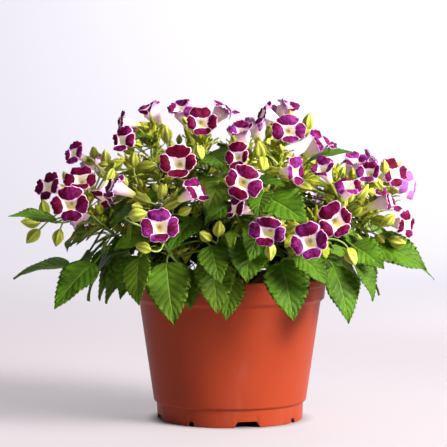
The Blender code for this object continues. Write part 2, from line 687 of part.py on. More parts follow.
def combine(base, cutters, operation):
    """Joins a collection's objects to base, or cuts them from it, applies that and removes them.

    All the shapes are closed, and for such shapes the MANIFOLD solver gives a closed result. The EXACT one
    left open edges where faces of the pot and its cutters nearly meet.
    """
    change = base.modifiers.new("combine", "BOOLEAN")
    change.operation = operation
    change.solver = "MANIFOLD"
    change.operand_type = "COLLECTION"
    change.collection = cutters
    bpy.context.view_layer.update()
    shape = bpy.data.meshes.new_from_object(base.evaluated_get(bpy.context.evaluated_depsgraph_get()))
    base.modifiers.remove(change)
    base.data = shape
    for each in list(cutters.objects):
        bpy.data.objects.remove(each)
    bpy.data.collections.remove(cutters)


def keep_outer_body(made):
    """Fills hollows that the joining has sealed and drops scraps: only the largest linked body stays."""
    work = bmesh.new()
    work.from_mesh(made.data)
    unseen, bodies = set(work.faces), []
    while unseen:
        body, reached = set(), [unseen.pop()]
        while reached:
            face = reached.pop()
            body.add(face)
            near = {other for edge in face.edges for other in edge.link_faces} & unseen
            unseen -= near
            reached += near
        bodies.append(body)
    largest = max(bodies, key=len)
    bmesh.ops.delete(work, geom=[f for f in work.faces if f not in largest], context="FACES")
    work.to_mesh(made.data)
    work.free()


def new_collection(name):
    """A collection in the scene for a node's pieces until they are joined."""
    made = bpy.data.collections.new(name)
    bpy.context.scene.collection.children.link(made)
    return made


def tree_of(points, faces):
    """A search tree that finds where two shapes cross."""
    return BVHTree.FromPolygons([tuple(p) for p in points], [tuple(int(i) for i in f) for f in faces])


def part_of(shape, first):
    """The faces of a shape that use no point before first."""
    points, faces = shape
    return points, [f for f in faces if min(f) >= first]


class Plant:
    """The leafy stems and flowers as closed shapes, each kept clear of all that doesn't carry it."""

    def __init__(self):
        self.nodes = {}
        self.lines = {}
        self.placed = []

    def add(self, node, kind, shape):
        """Takes the shape into its node."""
        self.nodes.setdefault(node, []).append(shape)
        self.placed.append((node, kind, tree_of(*shape)))

    def crossed(self, node, shape, head, passes=()):
        """What the shape crosses: all of it in other nodes, and only what follows point head in its own."""
        whole, own = tree_of(*shape), tree_of(*part_of(shape, head))
        for other, kind, tree in self.placed:
            if kind not in passes and tree.overlap(own if other == node else whole):
                return other, kind
        return None

    def start_on(self, stem, place, keep_back):
        """Where on a stem's lines a stalk to place leaves it: near, and the lower the more it keeps back."""
        line = np.vstack(self.lines[stem])
        line = line[line[:, 2] > LOWEST_START]
        cost = np.linalg.norm(line - place, axis=1) + keep_back * (line[:, 2] - place[2]).clip(0)
        return line[np.argmin(cost)]

    def nearest_stem(self, place):
        """The stem that passes nearest below a place, and how far off it is."""
        reach = {s: np.linalg.norm(self.start_on(s, place, PETIOLE_KEEPS_BACK) - place) for s in self.lines}
        stem = min(reach, key=reach.get)
        return stem, reach[stem]


def rises_from_soil(shoot):
    """Whether a stem starts in the soil, where its first point has no height, and isn't a fork of another."""
    return len(shoot.points[0]) == 2


def grow_stems(plant):
    """The stems from their holes in the soil to their tips, with the forks that belong to each."""
    for shoot in SHOOTS:
        first = shoot.points[0]
        if rises_from_soil(shoot):
            foot = (*first, GROUND - STEM_HOLE_DEPTH + STEM_FOOT_CLEARANCE)
            above = smooth_line([(*first, GROUND + STEM_STRAIGHT), *shoot.points[1:]], MAIN_STATIONS)
            line, thick = np.vstack((foot, above)), STEM_RADIUS
        else:
            fork = plant.start_on(shoot.stem, np.array(first, float), 0)
            line, thick = smooth_line([fork, *shoot.points[1:]], FORK_STATIONS), FORK_RADIUS
        places = np.linspace(0, len(line) - 1 - START_SHORT_OF_TIP, START_PLACES)
        dense = [np.interp(places, np.arange(len(line)), line[:, axis]) for axis in range(3)]
        plant.lines.setdefault(shoot.stem, []).append(np.stack(dense, axis=1))
        plant.add("leafy_stem_" + shoot.stem, "stem", stem_solid(line, thick, STEM_TIP_RADIUS))


def routes(plant, stem, foot):
    """Ways for a stalk: the point from which on it is to be clear of its own node, its start and its rise."""
    ways = [(plant.start_on(stem, foot, back), rise) for back in KEEP_BACKS for rise in RISES]
    return [(head, start, rise) for head in (STALK_SIDES, STALK_SIDES * STALK_POINTS) for start, rise in ways]


def need_clear(kind, hit):
    """Stops the build where an item of a list has no clear place."""
    if hit:
        raise ValueError(f"{kind} crosses {hit}")


def grow_corollas(plant):
    """Every flower's petals, in their own node or, past the limit of nodes, sunk on the calyx in the stem's."""
    for number, bloom in enumerate(BLOOMS, 1):
        shared = number > BLOOMS_WITH_A_NODE
        node = "leafy_stem_" + bloom.stem if shared else f"bloom_{number:02d}"
        need_clear(f"corolla {number}", plant.crossed(node, corolla_solid(bloom, TEST_GROWTH), 0))
        plant.add(node, f"corolla {number}", corolla_solid(bloom, gap=SHARED_SINK if shared else CLEARANCE))


def grow_calyxes(plant):
    """The calyx and stalk of each flower, from the stem that carries it."""
    for number, bloom in enumerate(BLOOMS, 1):
        back = facing(bloom.azimuth, bloom.elevation) * (FACE_TO_STALK + FOOT_BEHIND_FLOWER) * bloom.size
        foot = np.array((bloom.x, bloom.y, bloom.z)) - back
        for head, start, rise in routes(plant, bloom.stem, foot):
            grown = calyx_solid(bloom, start, rise, TEST_GROWTH)
            hit = plant.crossed("leafy_stem_" + bloom.stem, grown, head, (f"corolla {number}",))
            if hit is None:
                break
        need_clear(f"calyx {number}", hit)
        plant.add("leafy_stem_" + bloom.stem, f"calyx {number}", calyx_solid(bloom, start, rise))


def nudges():
    """Random shifts for a list's items, none for the first try and more for each that follows."""
    draw = np.random.default_rng(SEED)
    while True:
        yield draw.normal(0, 1, (TRIES, 6)) * np.linspace(0, 1, TRIES)[:, None]


def grow_listed_leaves(plant):
    """The leaves of the list, each nudged until it is clear."""
    for (number, leaf), shifts in zip(enumerate(LEAVES, 1), nudges()):
        for shift in shifts:
            base = np.array(leaf.base) + shift[:3] * LEAF_BASE_NUDGE
            tip = np.array(leaf.tip) + shift[:3] * LEAF_TIP_NUDGE + shift[3:] * LEAF_TIP_DRIFT
            hit = try_leaf(plant, leaf._replace(base=tuple(base), tip=tuple(tip)), f"leaf {number}")
            if hit is None:
                break
        need_clear(f"leaf {number}", hit)


def grow_buds(plant):
    """The buds on their stalks, each nudged until it is clear."""
    for (number, bud), shifts in zip(enumerate(BUDS, 1), nudges()):
        node = "leafy_stem_" + bud.stem
        for shift in shifts:
            x, y, z = np.array((bud.x, bud.y, bud.z)) + shift[:3] * BUD_NUDGE
            tried = bud._replace(x=x, y=y, z=z)
            back = facing(bud.azimuth, bud.elevation) * (BUD_LENGTH / 2 + FOOT_BEHIND_BUD)
            foot = np.array((x, y, z)) - back
            for head, start, rise in routes(plant, bud.stem, foot):
                hit = plant.crossed(node, bud_solid(tried, start, rise, TEST_GROWTH), head)
                if hit is None:
                    plant.add(node, f"bud {number}", bud_solid(tried, start, rise))
                    break
            if hit is None:
                break
        need_clear(f"bud {number}", hit)


def try_leaf(plant, leaf, kind):
    """Adds the leaf if it is clear from its petiole's second ring on, or says what it crosses.

    A blade that bends back past the mitre between it and its petiole would cross the petiole.
    """
    node = "leafy_stem_" + leaf.stem
    base, tip = np.array(leaf.base), np.array(leaf.tip)
    start = plant.start_on(leaf.stem, base, PETIOLE_KEEPS_BACK)
    points, faces = leaf_solid(leaf, start, TEST_GROWTH)
    mitre = unit(unit(base - start) + unit(tip - base))
    if ((points[2 * PETIOLE_SIDES :] - base) @ mitre).min() < SHORT_OF_MITRE:
        return "its own petiole"
    hit = plant.crossed(node, (points, faces), PETIOLE_SIDES)
    if hit is None:
        plant.add(node, kind, leaf_solid(leaf, start))
    return hit


def grow_skirt(plant):
    """Leaves that hang over the rim where the list has none, at even steps round the pot."""
    draw = np.random.default_rng(SEED + 1)
    for number, azimuth in enumerate(np.linspace(SKIRT_FIRST, SKIRT_LAST, SKIRT_LEAVES)):
        for shift in draw.uniform(-1, 1, (TRIES, len(SKIRT_SHIFTS))) * SKIRT_SHIFTS:
            around, size = azimuth + shift[0], 1 + shift[1]
            base_reach, base_height = SKIRT_BASE[0] + shift[2], SKIRT_BASE[1] + shift[3]
            base = facing(around, 0) * base_reach + (0, 0, base_height)
            tip_reach = base_reach + (SKIRT_TIP[0] - SKIRT_BASE[0]) * size + shift[4]
            tip_height = base_height + (SKIRT_TIP[1] - SKIRT_BASE[1]) * size
            tip = facing(around + shift[5], 0) * tip_reach + (0, 0, tip_height)
            stem, reach = plant.nearest_stem(base)
            width = np.linalg.norm(tip - base) * BLADE_WIDTH_SHARE
            leaf = Leaf(stem, tuple(base), tuple(tip), width, around, SKIRT_LOOK_UP)
            if reach < LONGEST_PETIOLE and try_leaf(plant, leaf, f"skirt {number}") is None:
                break


def grow_dome(plant):
    """Leaves over a dome inside the flowers, spread evenly on a spiral, with their tips out and down."""
    draw = np.random.default_rng(SEED + 2)
    for number in range(DOME_LEAVES):
        height = (number + 0.5) / DOME_LEAVES
        for shift in draw.uniform(-1, 1, (TRIES, len(DOME_SHIFTS))) * DOME_SHIFTS:
            azimuth = GOLDEN_ANGLE * number + shift[0]
            elevation = math.degrees(math.asin(height)) + shift[1]
            out, down = facing(azimuth, elevation), facing(azimuth, elevation - 90)
            side = np.cross(out, down)
            reaches = np.array((DOME_REACH, DOME_REACH, DOME_RISE)) * (DOME_FILL + shift[2])
            turn = math.radians(shift[3])
            outward = out * (DOME_OUTWARD + shift[4])
            heading = unit(down * math.cos(turn) + side * math.sin(turn) + outward)
            length = LEAF_LENGTH * (1 - DOME_TOP_SHRINK * height) * (1 + shift[5])
            base = out * reaches + (0, 0, DOME_HEIGHT) - heading * length * DOME_PIVOT
            tip = base + heading * length
            stem, reach = plant.nearest_stem(base)
            wide, deep, low = abs(tip[0]) > SPREAD_X, abs(tip[1]) > SPREAD_Y, tip[2] < SPREAD_LOWEST
            if wide or deep or low or reach > LONGEST_PETIOLE:
                continue
            width = length * BLADE_WIDTH_SHARE
            leaf = Leaf(stem, tuple(base), tuple(tip), width, azimuth, elevation + DOME_LOOK_UP)
            if try_leaf(plant, leaf, f"dome {number}") is None:
                break


def build_pot():
    """The pot, with large and small notches in turn round its foot and drain holes in its floor."""
    pot = make_object("pot", *pot_solid_points())
    cutters = new_collection("pot_cutters")
    for k in range(NOTCH_COUNT):
        bottom, top, height = NOTCHES[k % 2]
        out = facing(NOTCH_FIRST_AZIMUTH + k * 360 / NOTCH_COUNT, 0)
        across = np.array((out[1], -out[0], 0))
        corners = ((-bottom / 2, -CUT_BELOW), (bottom / 2, -CUT_BELOW), (top / 2, height), (-top / 2, height))
        rings = [
            np.array([out * reach + across * x + (0, 0, z) for x, z in corners])
            for reach in (FOOT_RADIUS - CUT_INWARD, FOOT_RADIUS + CUT_OUTWARD)
        ]
        make_object(f"notch_{k}", *loft(rings), cutters)
    middles = [facing(NOTCH_FIRST_AZIMUTH + turn, 0) * DRAIN_RING for turn in (0, 90, 180, 270)]
    for k, middle in enumerate([np.zeros(3), *middles]):
        low, high = FLOOR_UNDERSIDE - CUT_PAST, FLOOR_UNDERSIDE + FLOOR + CUT_PAST
        line = np.array((middle + (0, 0, low), middle + (0, 0, high)))
        make_object(f"drain_{k}", *loft(rings_along(line, (DRAIN_RADIUS,) * 2, DRAIN_SIDES)), cutters)
    combine(pot, cutters, "DIFFERENCE")
    pot.data.shade_smooth()
    pot.data.set_sharp_from_angle(angle=math.radians(SHARP_ANGLE))
    paint(pot, TERRACOTTA)


def build_soil():
    """The soil, with a plain square hole for each stem."""
    soil = make_object("soil", *soil_solid_points())
    cutters = new_collection("soil_cutters")
    for k, shoot in enumerate(filter(rises_from_soil, SHOOTS)):
        x, y = shoot.points[0]
        line = np.array(((x, y, GROUND - STEM_HOLE_DEPTH), (x, y, POT_HEIGHT)))
        make_object(f"stem_hole_{k}", *loft(rings_along(line, (STEM_HOLE_RADIUS,) * 2, STEM_SIDES)), cutters)
    combine(soil, cutters, "DIFFERENCE")
    paint(soil, EARTH)


def build_plant():
    """One object for each leafy stem and one for each flower's petals."""
    plant = Plant()
    plant.placed.append(("pot", "pot", tree_of(*pot_solid_points())))
    plant.placed.append(("soil", "soil", tree_of(*soil_solid_points())))
    grow_stems(plant)
    grow_corollas(plant)
    grow_calyxes(plant)
    grow_listed_leaves(plant)
    grow_buds(plant)
    grow_skirt(plant)
    grow_dome(plant)
    for node, shapes in plant.nodes.items():
        whole = make_object(node, *shapes[0])
        if len(shapes) > 1:
            others = new_collection(node + "_pieces")
            for k, shape in enumerate(shapes[1:]):
                make_object(f"{node}_{k}", *shape, others)
            combine(whole, others, "UNION")
            keep_outer_body(whole)
        paint(whole, GREEN if node.startswith("leafy") else BURGUNDY)


def main():
    for each in list(bpy.data.objects):
        bpy.data.objects.remove(each)
    build_pot()
    build_soil()
    build_plant()


if __name__ == "__main__":
    main()
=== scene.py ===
"""Looks of the potted torenia: finer pieces over the pot, soil, stems, leaves and flowers of its CAD model.

The layout's lengths are in millimetres, as in the part's source, and MM turns them into metres in a mesh.
An azimuth of 0 faces -Y, the side that is looked at, and 90 faces +X; an elevation is the angle above the
horizon.
"""

import math
from collections import namedtuple

import bpy
import numpy as np
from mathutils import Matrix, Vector


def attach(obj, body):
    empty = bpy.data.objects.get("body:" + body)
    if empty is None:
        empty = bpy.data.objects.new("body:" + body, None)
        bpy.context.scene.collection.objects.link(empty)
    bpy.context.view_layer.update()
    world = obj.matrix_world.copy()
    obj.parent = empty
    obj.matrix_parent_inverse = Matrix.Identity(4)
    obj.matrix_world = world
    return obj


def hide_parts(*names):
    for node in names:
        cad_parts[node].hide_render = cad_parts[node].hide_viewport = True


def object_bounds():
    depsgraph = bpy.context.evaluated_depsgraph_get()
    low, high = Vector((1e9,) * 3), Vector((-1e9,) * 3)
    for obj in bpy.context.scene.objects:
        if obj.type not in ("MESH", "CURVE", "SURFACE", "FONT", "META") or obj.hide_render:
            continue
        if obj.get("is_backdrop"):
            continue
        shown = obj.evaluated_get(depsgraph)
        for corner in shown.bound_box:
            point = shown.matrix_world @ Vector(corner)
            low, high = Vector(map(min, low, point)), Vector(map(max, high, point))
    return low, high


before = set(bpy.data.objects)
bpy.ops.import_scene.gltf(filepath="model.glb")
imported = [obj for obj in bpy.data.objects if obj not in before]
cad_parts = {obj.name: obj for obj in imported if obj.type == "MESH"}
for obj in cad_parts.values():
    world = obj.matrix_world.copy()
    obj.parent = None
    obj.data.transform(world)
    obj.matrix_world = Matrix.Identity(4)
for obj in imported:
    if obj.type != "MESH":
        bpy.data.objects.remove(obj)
BOX_LOW, BOX_HIGH = (np.array(corner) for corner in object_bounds())

bl_info = {
    "name": "Potted torenia",
    "version": (1, 0, 0),
    "blender": (4, 5, 0),
    "location": "3D Viewport > Sidebar > Torenia",
    "description": "Dresses the packed model of a potted torenia with finer pieces and procedural finishes",
    "category": "Object",
}

MM = 0.001

# The values from here to the tables of flowers, buds and leaves are those of the part's source.
# Pot: a rim band over a tapered wall, on a narrower foot with notches for drainage
POT_HEIGHT = 110.0
RIM_RADIUS = 75.0
RIM_LEDGE_DEPTH = 6.3
RIM_BAND_DEPTH = 16.5
RIM_BAND_THICKNESS = 3.6
RIM_CHAMFER = 2.6
WALL_TOP_RADIUS = 70.2
WALL_FOOT_RADIUS = 59.0
FOOT_RADIUS = 56.8
FOOT_HEIGHT = 13.5
FOOT_TAPER = 0.6
WALL = 1.6
FLOOR_UNDERSIDE = 6.5
FLOOR = 1.8
DRAIN_RADIUS = 4.5
DRAIN_RING = 36.0

# The rim's section from the band's lower edge up and over the lip: radius less the rim's, height less the
# pot's
RIM_SECTION = (
    (-1.9, -RIM_BAND_DEPTH),
    (-1.0, -RIM_LEDGE_DEPTH - 0.4),
    (-0.4, -RIM_LEDGE_DEPTH + 0.2),
    (0.0, -0.8),
    (-0.7, 0.0),
    (-2.1, 0.0),
    (-2.6, -1.0),
)

# The foot's step, from below its top to above it, and how far under the chamfer the inner face turns to
# the band
STEP_BELOW, STEP_ABOVE = 0.8, 1.0
INNER_TURN = 1.5

# Notches round the foot, the two kinds in turn: width below, width above and height
NOTCH_FIRST_AZIMUTH = 13.5
NOTCH_COUNT = 8
NOTCHES = ((22.0, 15.0, 4.4), (6.5, 4.0, 3.4))

# Soil: it fills the pot to a little under the rim, with a hole for each stem
CLEARANCE = 0.35
GROUND = POT_HEIGHT - 11.0
SOIL_GAP = 0.65
SOIL_EDGE_DROP = 1.0
SOIL_DOME = 3.0
STEM_HOLE_DEPTH = 26.0
STEM_FOOT_CLEARANCE = 1.35

# Lumps of the soil, each a wave: height, pitch along X, pitch along Y and start
SOIL_WAVES = (
    (0.275, 0.31, -0.27, 2.87),
    (0.275, 0.31, 0.27, -0.27),
    (0.33, 0.53, -0.41, 0.0),
    (0.275, 0.2, 0.47, 2.0),
)

# Flower of size 1: its depth from the face back to the calyx and to the stalk, and the edge between lobes
FACE_TO_CALYX = 20.5
FACE_TO_STALK = 34.5
NOTCH_REACH, NOTCH_FORWARD = 7.7, -1.0
CALYX_RADIUS = 4.3
BUD_LENGTH = 15.0
BUD_RADIUS = 4.5

# Stalk: it starts near a foot behind its flower or bud, and tries these shares of keeping low and of rising
STALK_RADIUS = 0.8
STALK_SIDES = 3
STALK_POINTS = 3
STALK_LEAVES, STALK_ARRIVES = 0.25, 0.4
FOOT_BEHIND_FLOWER, FOOT_BEHIND_BUD = 10.0, 8.0
KEEP_BACKS = (0.5, 2.0, 0.0)
RISES = (0.1, 0.3, -0.1)
ROOT_SINK = 0.25

# Stem: upright for a little over the ground, with places along it where stalks and petioles can start
STEM_RADIUS = 1.7
STEM_TIP_RADIUS = 1.1
FORK_RADIUS = 1.32
STEM_STRAIGHT = 4.0
MAIN_STATIONS, FORK_STATIONS = 8, 5
START_PLACES = 60
START_SHORT_OF_TIP = 0.15
LOWEST_START = POT_HEIGHT + 1

# A direction that no line runs along, to start a ring's axes from
ASKEW = (0.31, 0.93, 0.17)

# Leaf
LONGEST_PETIOLE = 42.0
PETIOLE_KEEPS_BACK = 0.3
BLADE_ARCH = 0.07
BLADE_FOLD = 0.16
BLADE_FULLNESS, BLADE_ROUNDNESS = 0.6, 0.85
TIP_START, TIP_TAPER = 0.7, 0.25
BLADE_WIDTH_SHARE = 0.68
LEAF_LENGTH = 37.0

# A leaf or bud of a list that isn't clear is nudged, by chance and by up to about this much
LEAF_BASE_NUDGE = (5, 7, 5)
LEAF_TIP_NUDGE = (8, 11, 8)
LEAF_TIP_DRIFT = 5
BUD_NUDGE = (3, 7, 3)

# The skirt of leaves over the rim: reach and height of base and tip, and the chance shifts of azimuth,
# size, the base's reach and height, the tip's reach and the tip's azimuth
SKIRT_LEAVES = 16
SKIRT_FIRST, SKIRT_LAST = 56.0, 306.0
SKIRT_BASE = (84.0, 128.0)
SKIRT_TIP = (106.0, 91.0)
SKIRT_LOOK_UP = 30.0
SKIRT_SHIFTS = (6.0, 0.16, 5.0, 7.0, 6.0, 10.0)

# The spiral of leaves over a dome inside the flowers, and the chance shifts of azimuth, elevation,
# distance from the middle, turn off the downward way, outward share of the heading and length
DOME_LEAVES = 56
DOME_HEIGHT = 112.0
DOME_REACH = 122.0
DOME_RISE = 96.0
DOME_FILL = 0.93
DOME_OUTWARD = 0.35
DOME_PIVOT = 0.3
DOME_TOP_SHRINK = 0.22
DOME_LOOK_UP = 12.0
DOME_SHIFTS = (8.0, 3.0, 0.09, 55.0, 0.25, 0.14)
GOLDEN_ANGLE = 137.508

SEED = 7
TRIES = 12
BLOOMS_WITH_A_NODE = 46
STEM_NODE = "leafy_stem_"

Shoot = namedtuple("Shoot", "stem points")
Bloom = namedtuple("Bloom", "stem x y z azimuth elevation roll size")
Bud = namedtuple("Bud", "stem x y z azimuth elevation size")
Leaf = namedtuple("Leaf", "stem base tip width azimuth elevation")

SHOOTS = (
    Shoot("left", ((-24, -8), (-58, -14, 124), (-92, -20, 146), (-110, -24, 163))),
    Shoot("upper_left", ((-16, -16), (-38, -24, 150), (-56, -26, 188), (-60, -24, 212))),
    Shoot("upper_left", ((-41, -24, 156), (-56, -38, 166), (-64, -52, 170))),
    Shoot("top", ((-5, -14), (-12, -30, 150), (-17, -40, 186), (-20, -34, 211))),
    Shoot("top", ((-14, -34, 163), (-24, -54, 172), (-32, -70, 182))),
    Shoot("top", ((-12, -28, 150), (-20, -10, 182), (-24, 10, 208))),
    Shoot("front_left", ((-13, -28), (-28, -54, 117), (-42, -78, 130), (-50, -92, 146))),
    Shoot("centre", ((5, -25), (8, -46, 138), (8, -66, 172), (10, -62, 203))),
    Shoot("crown", ((12, -6), (24, -18, 150), (36, -30, 188), (40, -32, 211))),
    Shoot("crown", ((31, -25, 172), (44, -44, 178), (52, -58, 184))),
    Shoot("crown", ((24, -18, 150), (30, 2, 182), (32, 20, 206))),
    Shoot("front_right", ((18, -24), (36, -54, 117), (50, -78, 128), (60, -88, 144))),
    Shoot("right", ((26, -12), (54, -28, 124), (76, -42, 152), (84, -48, 176))),
    Shoot("far_right", ((27, 3), (66, 0, 122), (96, -10, 142), (114, -16, 164))),
    Shoot("back_left", ((-20, 12), (-50, 36, 128), (-74, 54, 160), (-78, 58, 188))),
    Shoot("back", ((0, 18), (-2, 52, 130), (-4, 76, 162), (-2, 80, 190))),
    Shoot("back", ((-2, 52, 130), (2, 46, 170), (6, 38, 206))),
    Shoot("back_right", ((18, 18), (48, 44, 128), (74, 58, 156), (86, 60, 180))),
)

BLOOMS = (
    Bloom("left", -140, -22, 181, -40, 15, 0, 0.98),
    Bloom("left", -121, -6, 206, -35, 20, 10, 0.80),
    Bloom("left", -112, -48, 187, -4, 28, 0, 1.00),
    Bloom("left", -117, -86, 169, -8, 0, 0, 1.10),
    Bloom("left", -96, -60, 172, -40, -58, 0, 0.75),
    Bloom("upper_left", -80, -62, 216, -30, 10, 0, 0.85),
    Bloom("upper_left", -84, -24, 229, -80, 8, 0, 0.80),
    Bloom("upper_left", -62, -14, 241, -60, 58, 0, 0.95),
    Bloom("upper_left", -86, -92, 183, -70, 24, 0, 0.95),
    Bloom("top", -38, -28, 240, -30, 52, 0, 0.95),
    Bloom("top", -21, -76, 229, 5, 5, 0, 0.95),
    Bloom("top", -4, -30, 240, 55, 45, 0, 0.92),
    Bloom("top", -37, -110, 200, -8, 14, 0, 1.10),
    Bloom("top", -22, -112, 180, 62, 25, 0, 0.92),
    Bloom("front_left", -50, -132, 155, 0, 8, 0, 1.10),
    Bloom("centre", 9, -128, 186, -6, 2, -25, 1.10),
    Bloom("centre", 8, -90, 223, -20, 48, 0, 0.90),
    Bloom("centre", 5, -111, 204, -15, 8, 0, 0.80),
    Bloom("centre", 2, -112, 168, -62, 14, 0, 0.88),
    Bloom("crown", 17, -40, 229, -120, 72, 0, 0.85),
    Bloom("crown", 43, -90, 223, 5, 8, 0, 1.00),
    Bloom("crown", 44, -30, 242, 50, 50, 0, 0.95),
    Bloom("crown", 24, -66, 236, -60, 25, 0, 0.85),
    Bloom("crown", 69, -66, 215, 62, 38, 0, 0.95),
    Bloom("crown", 48, -104, 193, 48, 0, 0, 0.78),
    Bloom("front_right", 76, -114, 158, 6, 0, 30, 1.05),
    Bloom("front_right", 56, -128, 144, -8, 0, 10, 1.10),
    Bloom("front_right", 26, -134, 151, -22, -5, -10, 1.00),
    Bloom("right", 67, -92, 196, -30, 42, 0, 0.85),
    Bloom("right", 94, -45, 200, 30, 52, 0, 0.90),
    Bloom("right", 86, -98, 184, 12, 38, 0, 0.95),
    Bloom("right", 101, -78, 193, -30, 30, 0, 0.78),
    Bloom("far_right", 124, -44, 191, 38, 15, 0, 0.95),
    Bloom("far_right", 139, -16, 180, 52, -8, 0, 0.85),
    Bloom("far_right", 121, -48, 171, 72, 20, 0, 1.00),
    Bloom("far_right", 133, -50, 152, 52, -6, 0, 0.95),
    Bloom("back_left", -122, 42, 178, -120, 12, 0, 1.00),
    Bloom("back_left", -92, 92, 164, -150, 5, 10, 1.05),
    Bloom("back_left", -70, 66, 222, -135, 42, 0, 0.95),
    Bloom("back_left", -52, 104, 196, -165, 18, 0, 1.00),
    Bloom("back", -14, 130, 168, 180, 2, -10, 1.10),
    Bloom("back", 8, 92, 222, 175, 36, 0, 0.95),
    Bloom("back", 24, 118, 190, 165, 15, 12, 1.00),
    Bloom("back_right", 66, 108, 170, 152, 6, 0, 1.05),
    Bloom("back_right", 78, 76, 210, 140, 34, 0, 0.95),
    Bloom("back_right", 118, 56, 172, 118, 10, 0, 1.00),
    Bloom("back", -30, 56, 236, 170, 60, 0, 0.90),
    Bloom("back", 36, 62, 233, 150, 60, 0, 0.95),
    Bloom("far_right", 112, 22, 200, 100, 38, 0, 0.90),
    Bloom("back_left", -112, 26, 199, -100, 30, 0, 0.90),
    Bloom("back_left", -52, 124, 156, -160, 0, 0, 1.00),
    Bloom("back", 30, 134, 148, 170, -5, 0, 1.00),
    Bloom("back_right", 100, 92, 152, 135, 0, 0, 1.00),
    Bloom("back_left", -122, 70, 150, -125, -5, 0, 0.95),
)

BUDS = (
    Bud("left", -140, -34, 164, -60, 75, 0.95),
    Bud("left", -150, -40, 154, -80, 0, 1.05),
    Bud("left", -148, -44, 143, -70, -45, 1.00),
    Bud("left", -129, -46, 142, -40, -70, 0.95),
    Bud("upper_left", -94, -30, 202, -30, 80, 0.90),
    Bud("upper_left", -86, -40, 197, 60, 20, 1.05),
    Bud("upper_left", -72, -44, 201, 10, 80, 0.85),
    Bud("upper_left", -62, -40, 196, 80, 10, 1.00),
    Bud("top", -48, -44, 220, -20, 75, 1.00),
    Bud("top", -22, -84, 205, 20, -50, 0.90),
    Bud("front_left", -62, -118, 139, -60, 20, 0.90),
    Bud("front_left", -66, -104, 162, 70, 10, 1.05),
    Bud("centre", -8, -104, 152, 10, 60, 0.95),
    Bud("centre", -14, -104, 148, -50, 30, 0.85),
    Bud("crown", 22, -84, 208, -20, 60, 1.10),
    Bud("crown", 24, -92, 198, 0, -40, 1.00),
    Bud("crown", 59, -40, 229, 40, 80, 0.95),
    Bud("crown", 54, -84, 182, 60, -20, 0.95),
    Bud("front_right", 44, -112, 152, 40, 20, 1.00),
    Bud("front_right", 88, -96, 131, 30, -50, 1.05),
    Bud("front_right", 29, -118, 136, 0, -75, 0.90),
    Bud("right", 98, -72, 178, 60, 50, 0.90),
    Bud("far_right", 124, -46, 140, 50, -10, 1.05),
    Bud("far_right", 118, -56, 156, 60, 40, 0.95),
    Bud("back_left", -104, 70, 190, -140, 50, 1.00),
    Bud("back_left", -84, 84, 142, -150, -30, 1.00),
    Bud("back", -24, 108, 214, -170, 60, 1.00),
    Bud("back", 10, 112, 150, 175, -20, 0.95),
    Bud("back_right", 92, 88, 188, 130, 45, 1.00),
    Bud("back_right", 100, 78, 146, 125, -20, 1.05),
)

LEAVES = (
    Leaf("front_left", (-46, -92, 127), (-40, -104, 82), 33, -10, 20),
    Leaf("front_left", (-13, -94, 130), (-9, -106, 90), 29, 5, 25),
    Leaf("front_left", (-31, -84, 121), (-29, -98, 92), 22, 0, 30),
    Leaf("centre", (3, -84, 116), (-3, -93, 84), 22, -10, 15),
    Leaf("front_right", (37, -90, 127), (46, -106, 85), 34, 10, 25),
    Leaf("front_right", (76, -74, 123), (87, -84, 81), 27, 25, 20),
    Leaf("right", (90, -68, 138), (113, -82, 121), 26, 0, 40),
    Leaf("far_right", (106, -42, 138), (148, -46, 118), 34, 0, 50),
    Leaf("far_right", (119, 24, 132), (163, 44, 103), 30, -20, 65),
    Leaf("left", (-120, -44, 121), (-164, -38, 111), 28, -10, 75),
    Leaf("left", (-100, -72, 125), (-128, -90, 92), 28, -20, 35),
    Leaf("left", (-64, -76, 130), (-80, -94, 100), 24, -25, 30),
    Leaf("left", (-128, -58, 154), (-164, -68, 159), 22, -20, 65),
    Leaf("centre", (26, -98, 174), (54, -126, 157), 35, 0, 42),
    Leaf("centre", (24, -104, 178), (20, -126, 160), 20, -25, 35),
    Leaf("top", (-17, -74, 205), (1, -98, 192), 27, 0, 50),
    Leaf("centre", (-6, -92, 184), (-16, -112, 160), 29, -12, 25),
    Leaf("centre", (14, -100, 143), (12, -116, 114), 33, 5, 15),
    Leaf("crown", (58, -54, 199), (92, -62, 206), 26, -5, 75),
    Leaf("upper_left", (-56, -34, 216), (-76, -46, 216), 18, -10, 70),
)

# How near a worked-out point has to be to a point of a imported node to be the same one
SAME_POINT = 0.04

# Points along a stem as drawn, and those along and round a flower's stalk, a bud's stalk and a petiole
MAIN_FINE, FORK_FINE = 36, 20
FLOWER_STALK_POINTS, BUD_STALK_POINTS, PETIOLE_POINTS = 14, 12, 8
ROUND_STALK_SIDES, PETIOLE_SIDES = 7, 6


def linear(red, green, blue):
    """A screen colour of 0 to 255 as the linear values that a shader takes."""
    screen = np.array((red, green, blue)) / 255
    low, high = screen / 12.92, ((screen + 0.055) / 1.055) ** 2.4
    return tuple(float(v) for v in np.where(screen <= 0.04045, low, high))


def darker(colour, share):
    """The colour with that share of its light."""
    return tuple(share * c for c in colour)


def unit(v):
    """The vectors of length 1 along v."""
    return v / np.linalg.norm(v, axis=-1, keepdims=True)


def facing(azimuth, elevation):
    """The direction of that azimuth and elevation, in degrees."""
    a, e = math.radians(azimuth), math.radians(elevation)
    return np.array((math.sin(a) * math.cos(e), -math.cos(a) * math.cos(e), math.sin(e)))


def seen_at(heading):
    """The azimuth and elevation of a direction, in degrees."""
    azimuth = math.degrees(math.atan2(heading[0], -heading[1]))
    return azimuth, math.degrees(math.asin(np.clip(heading[2], -1, 1)))


def centre_of(each):
    """The middle of a flower's face or of a bud."""
    return np.array((each.x, each.y, each.z), float)


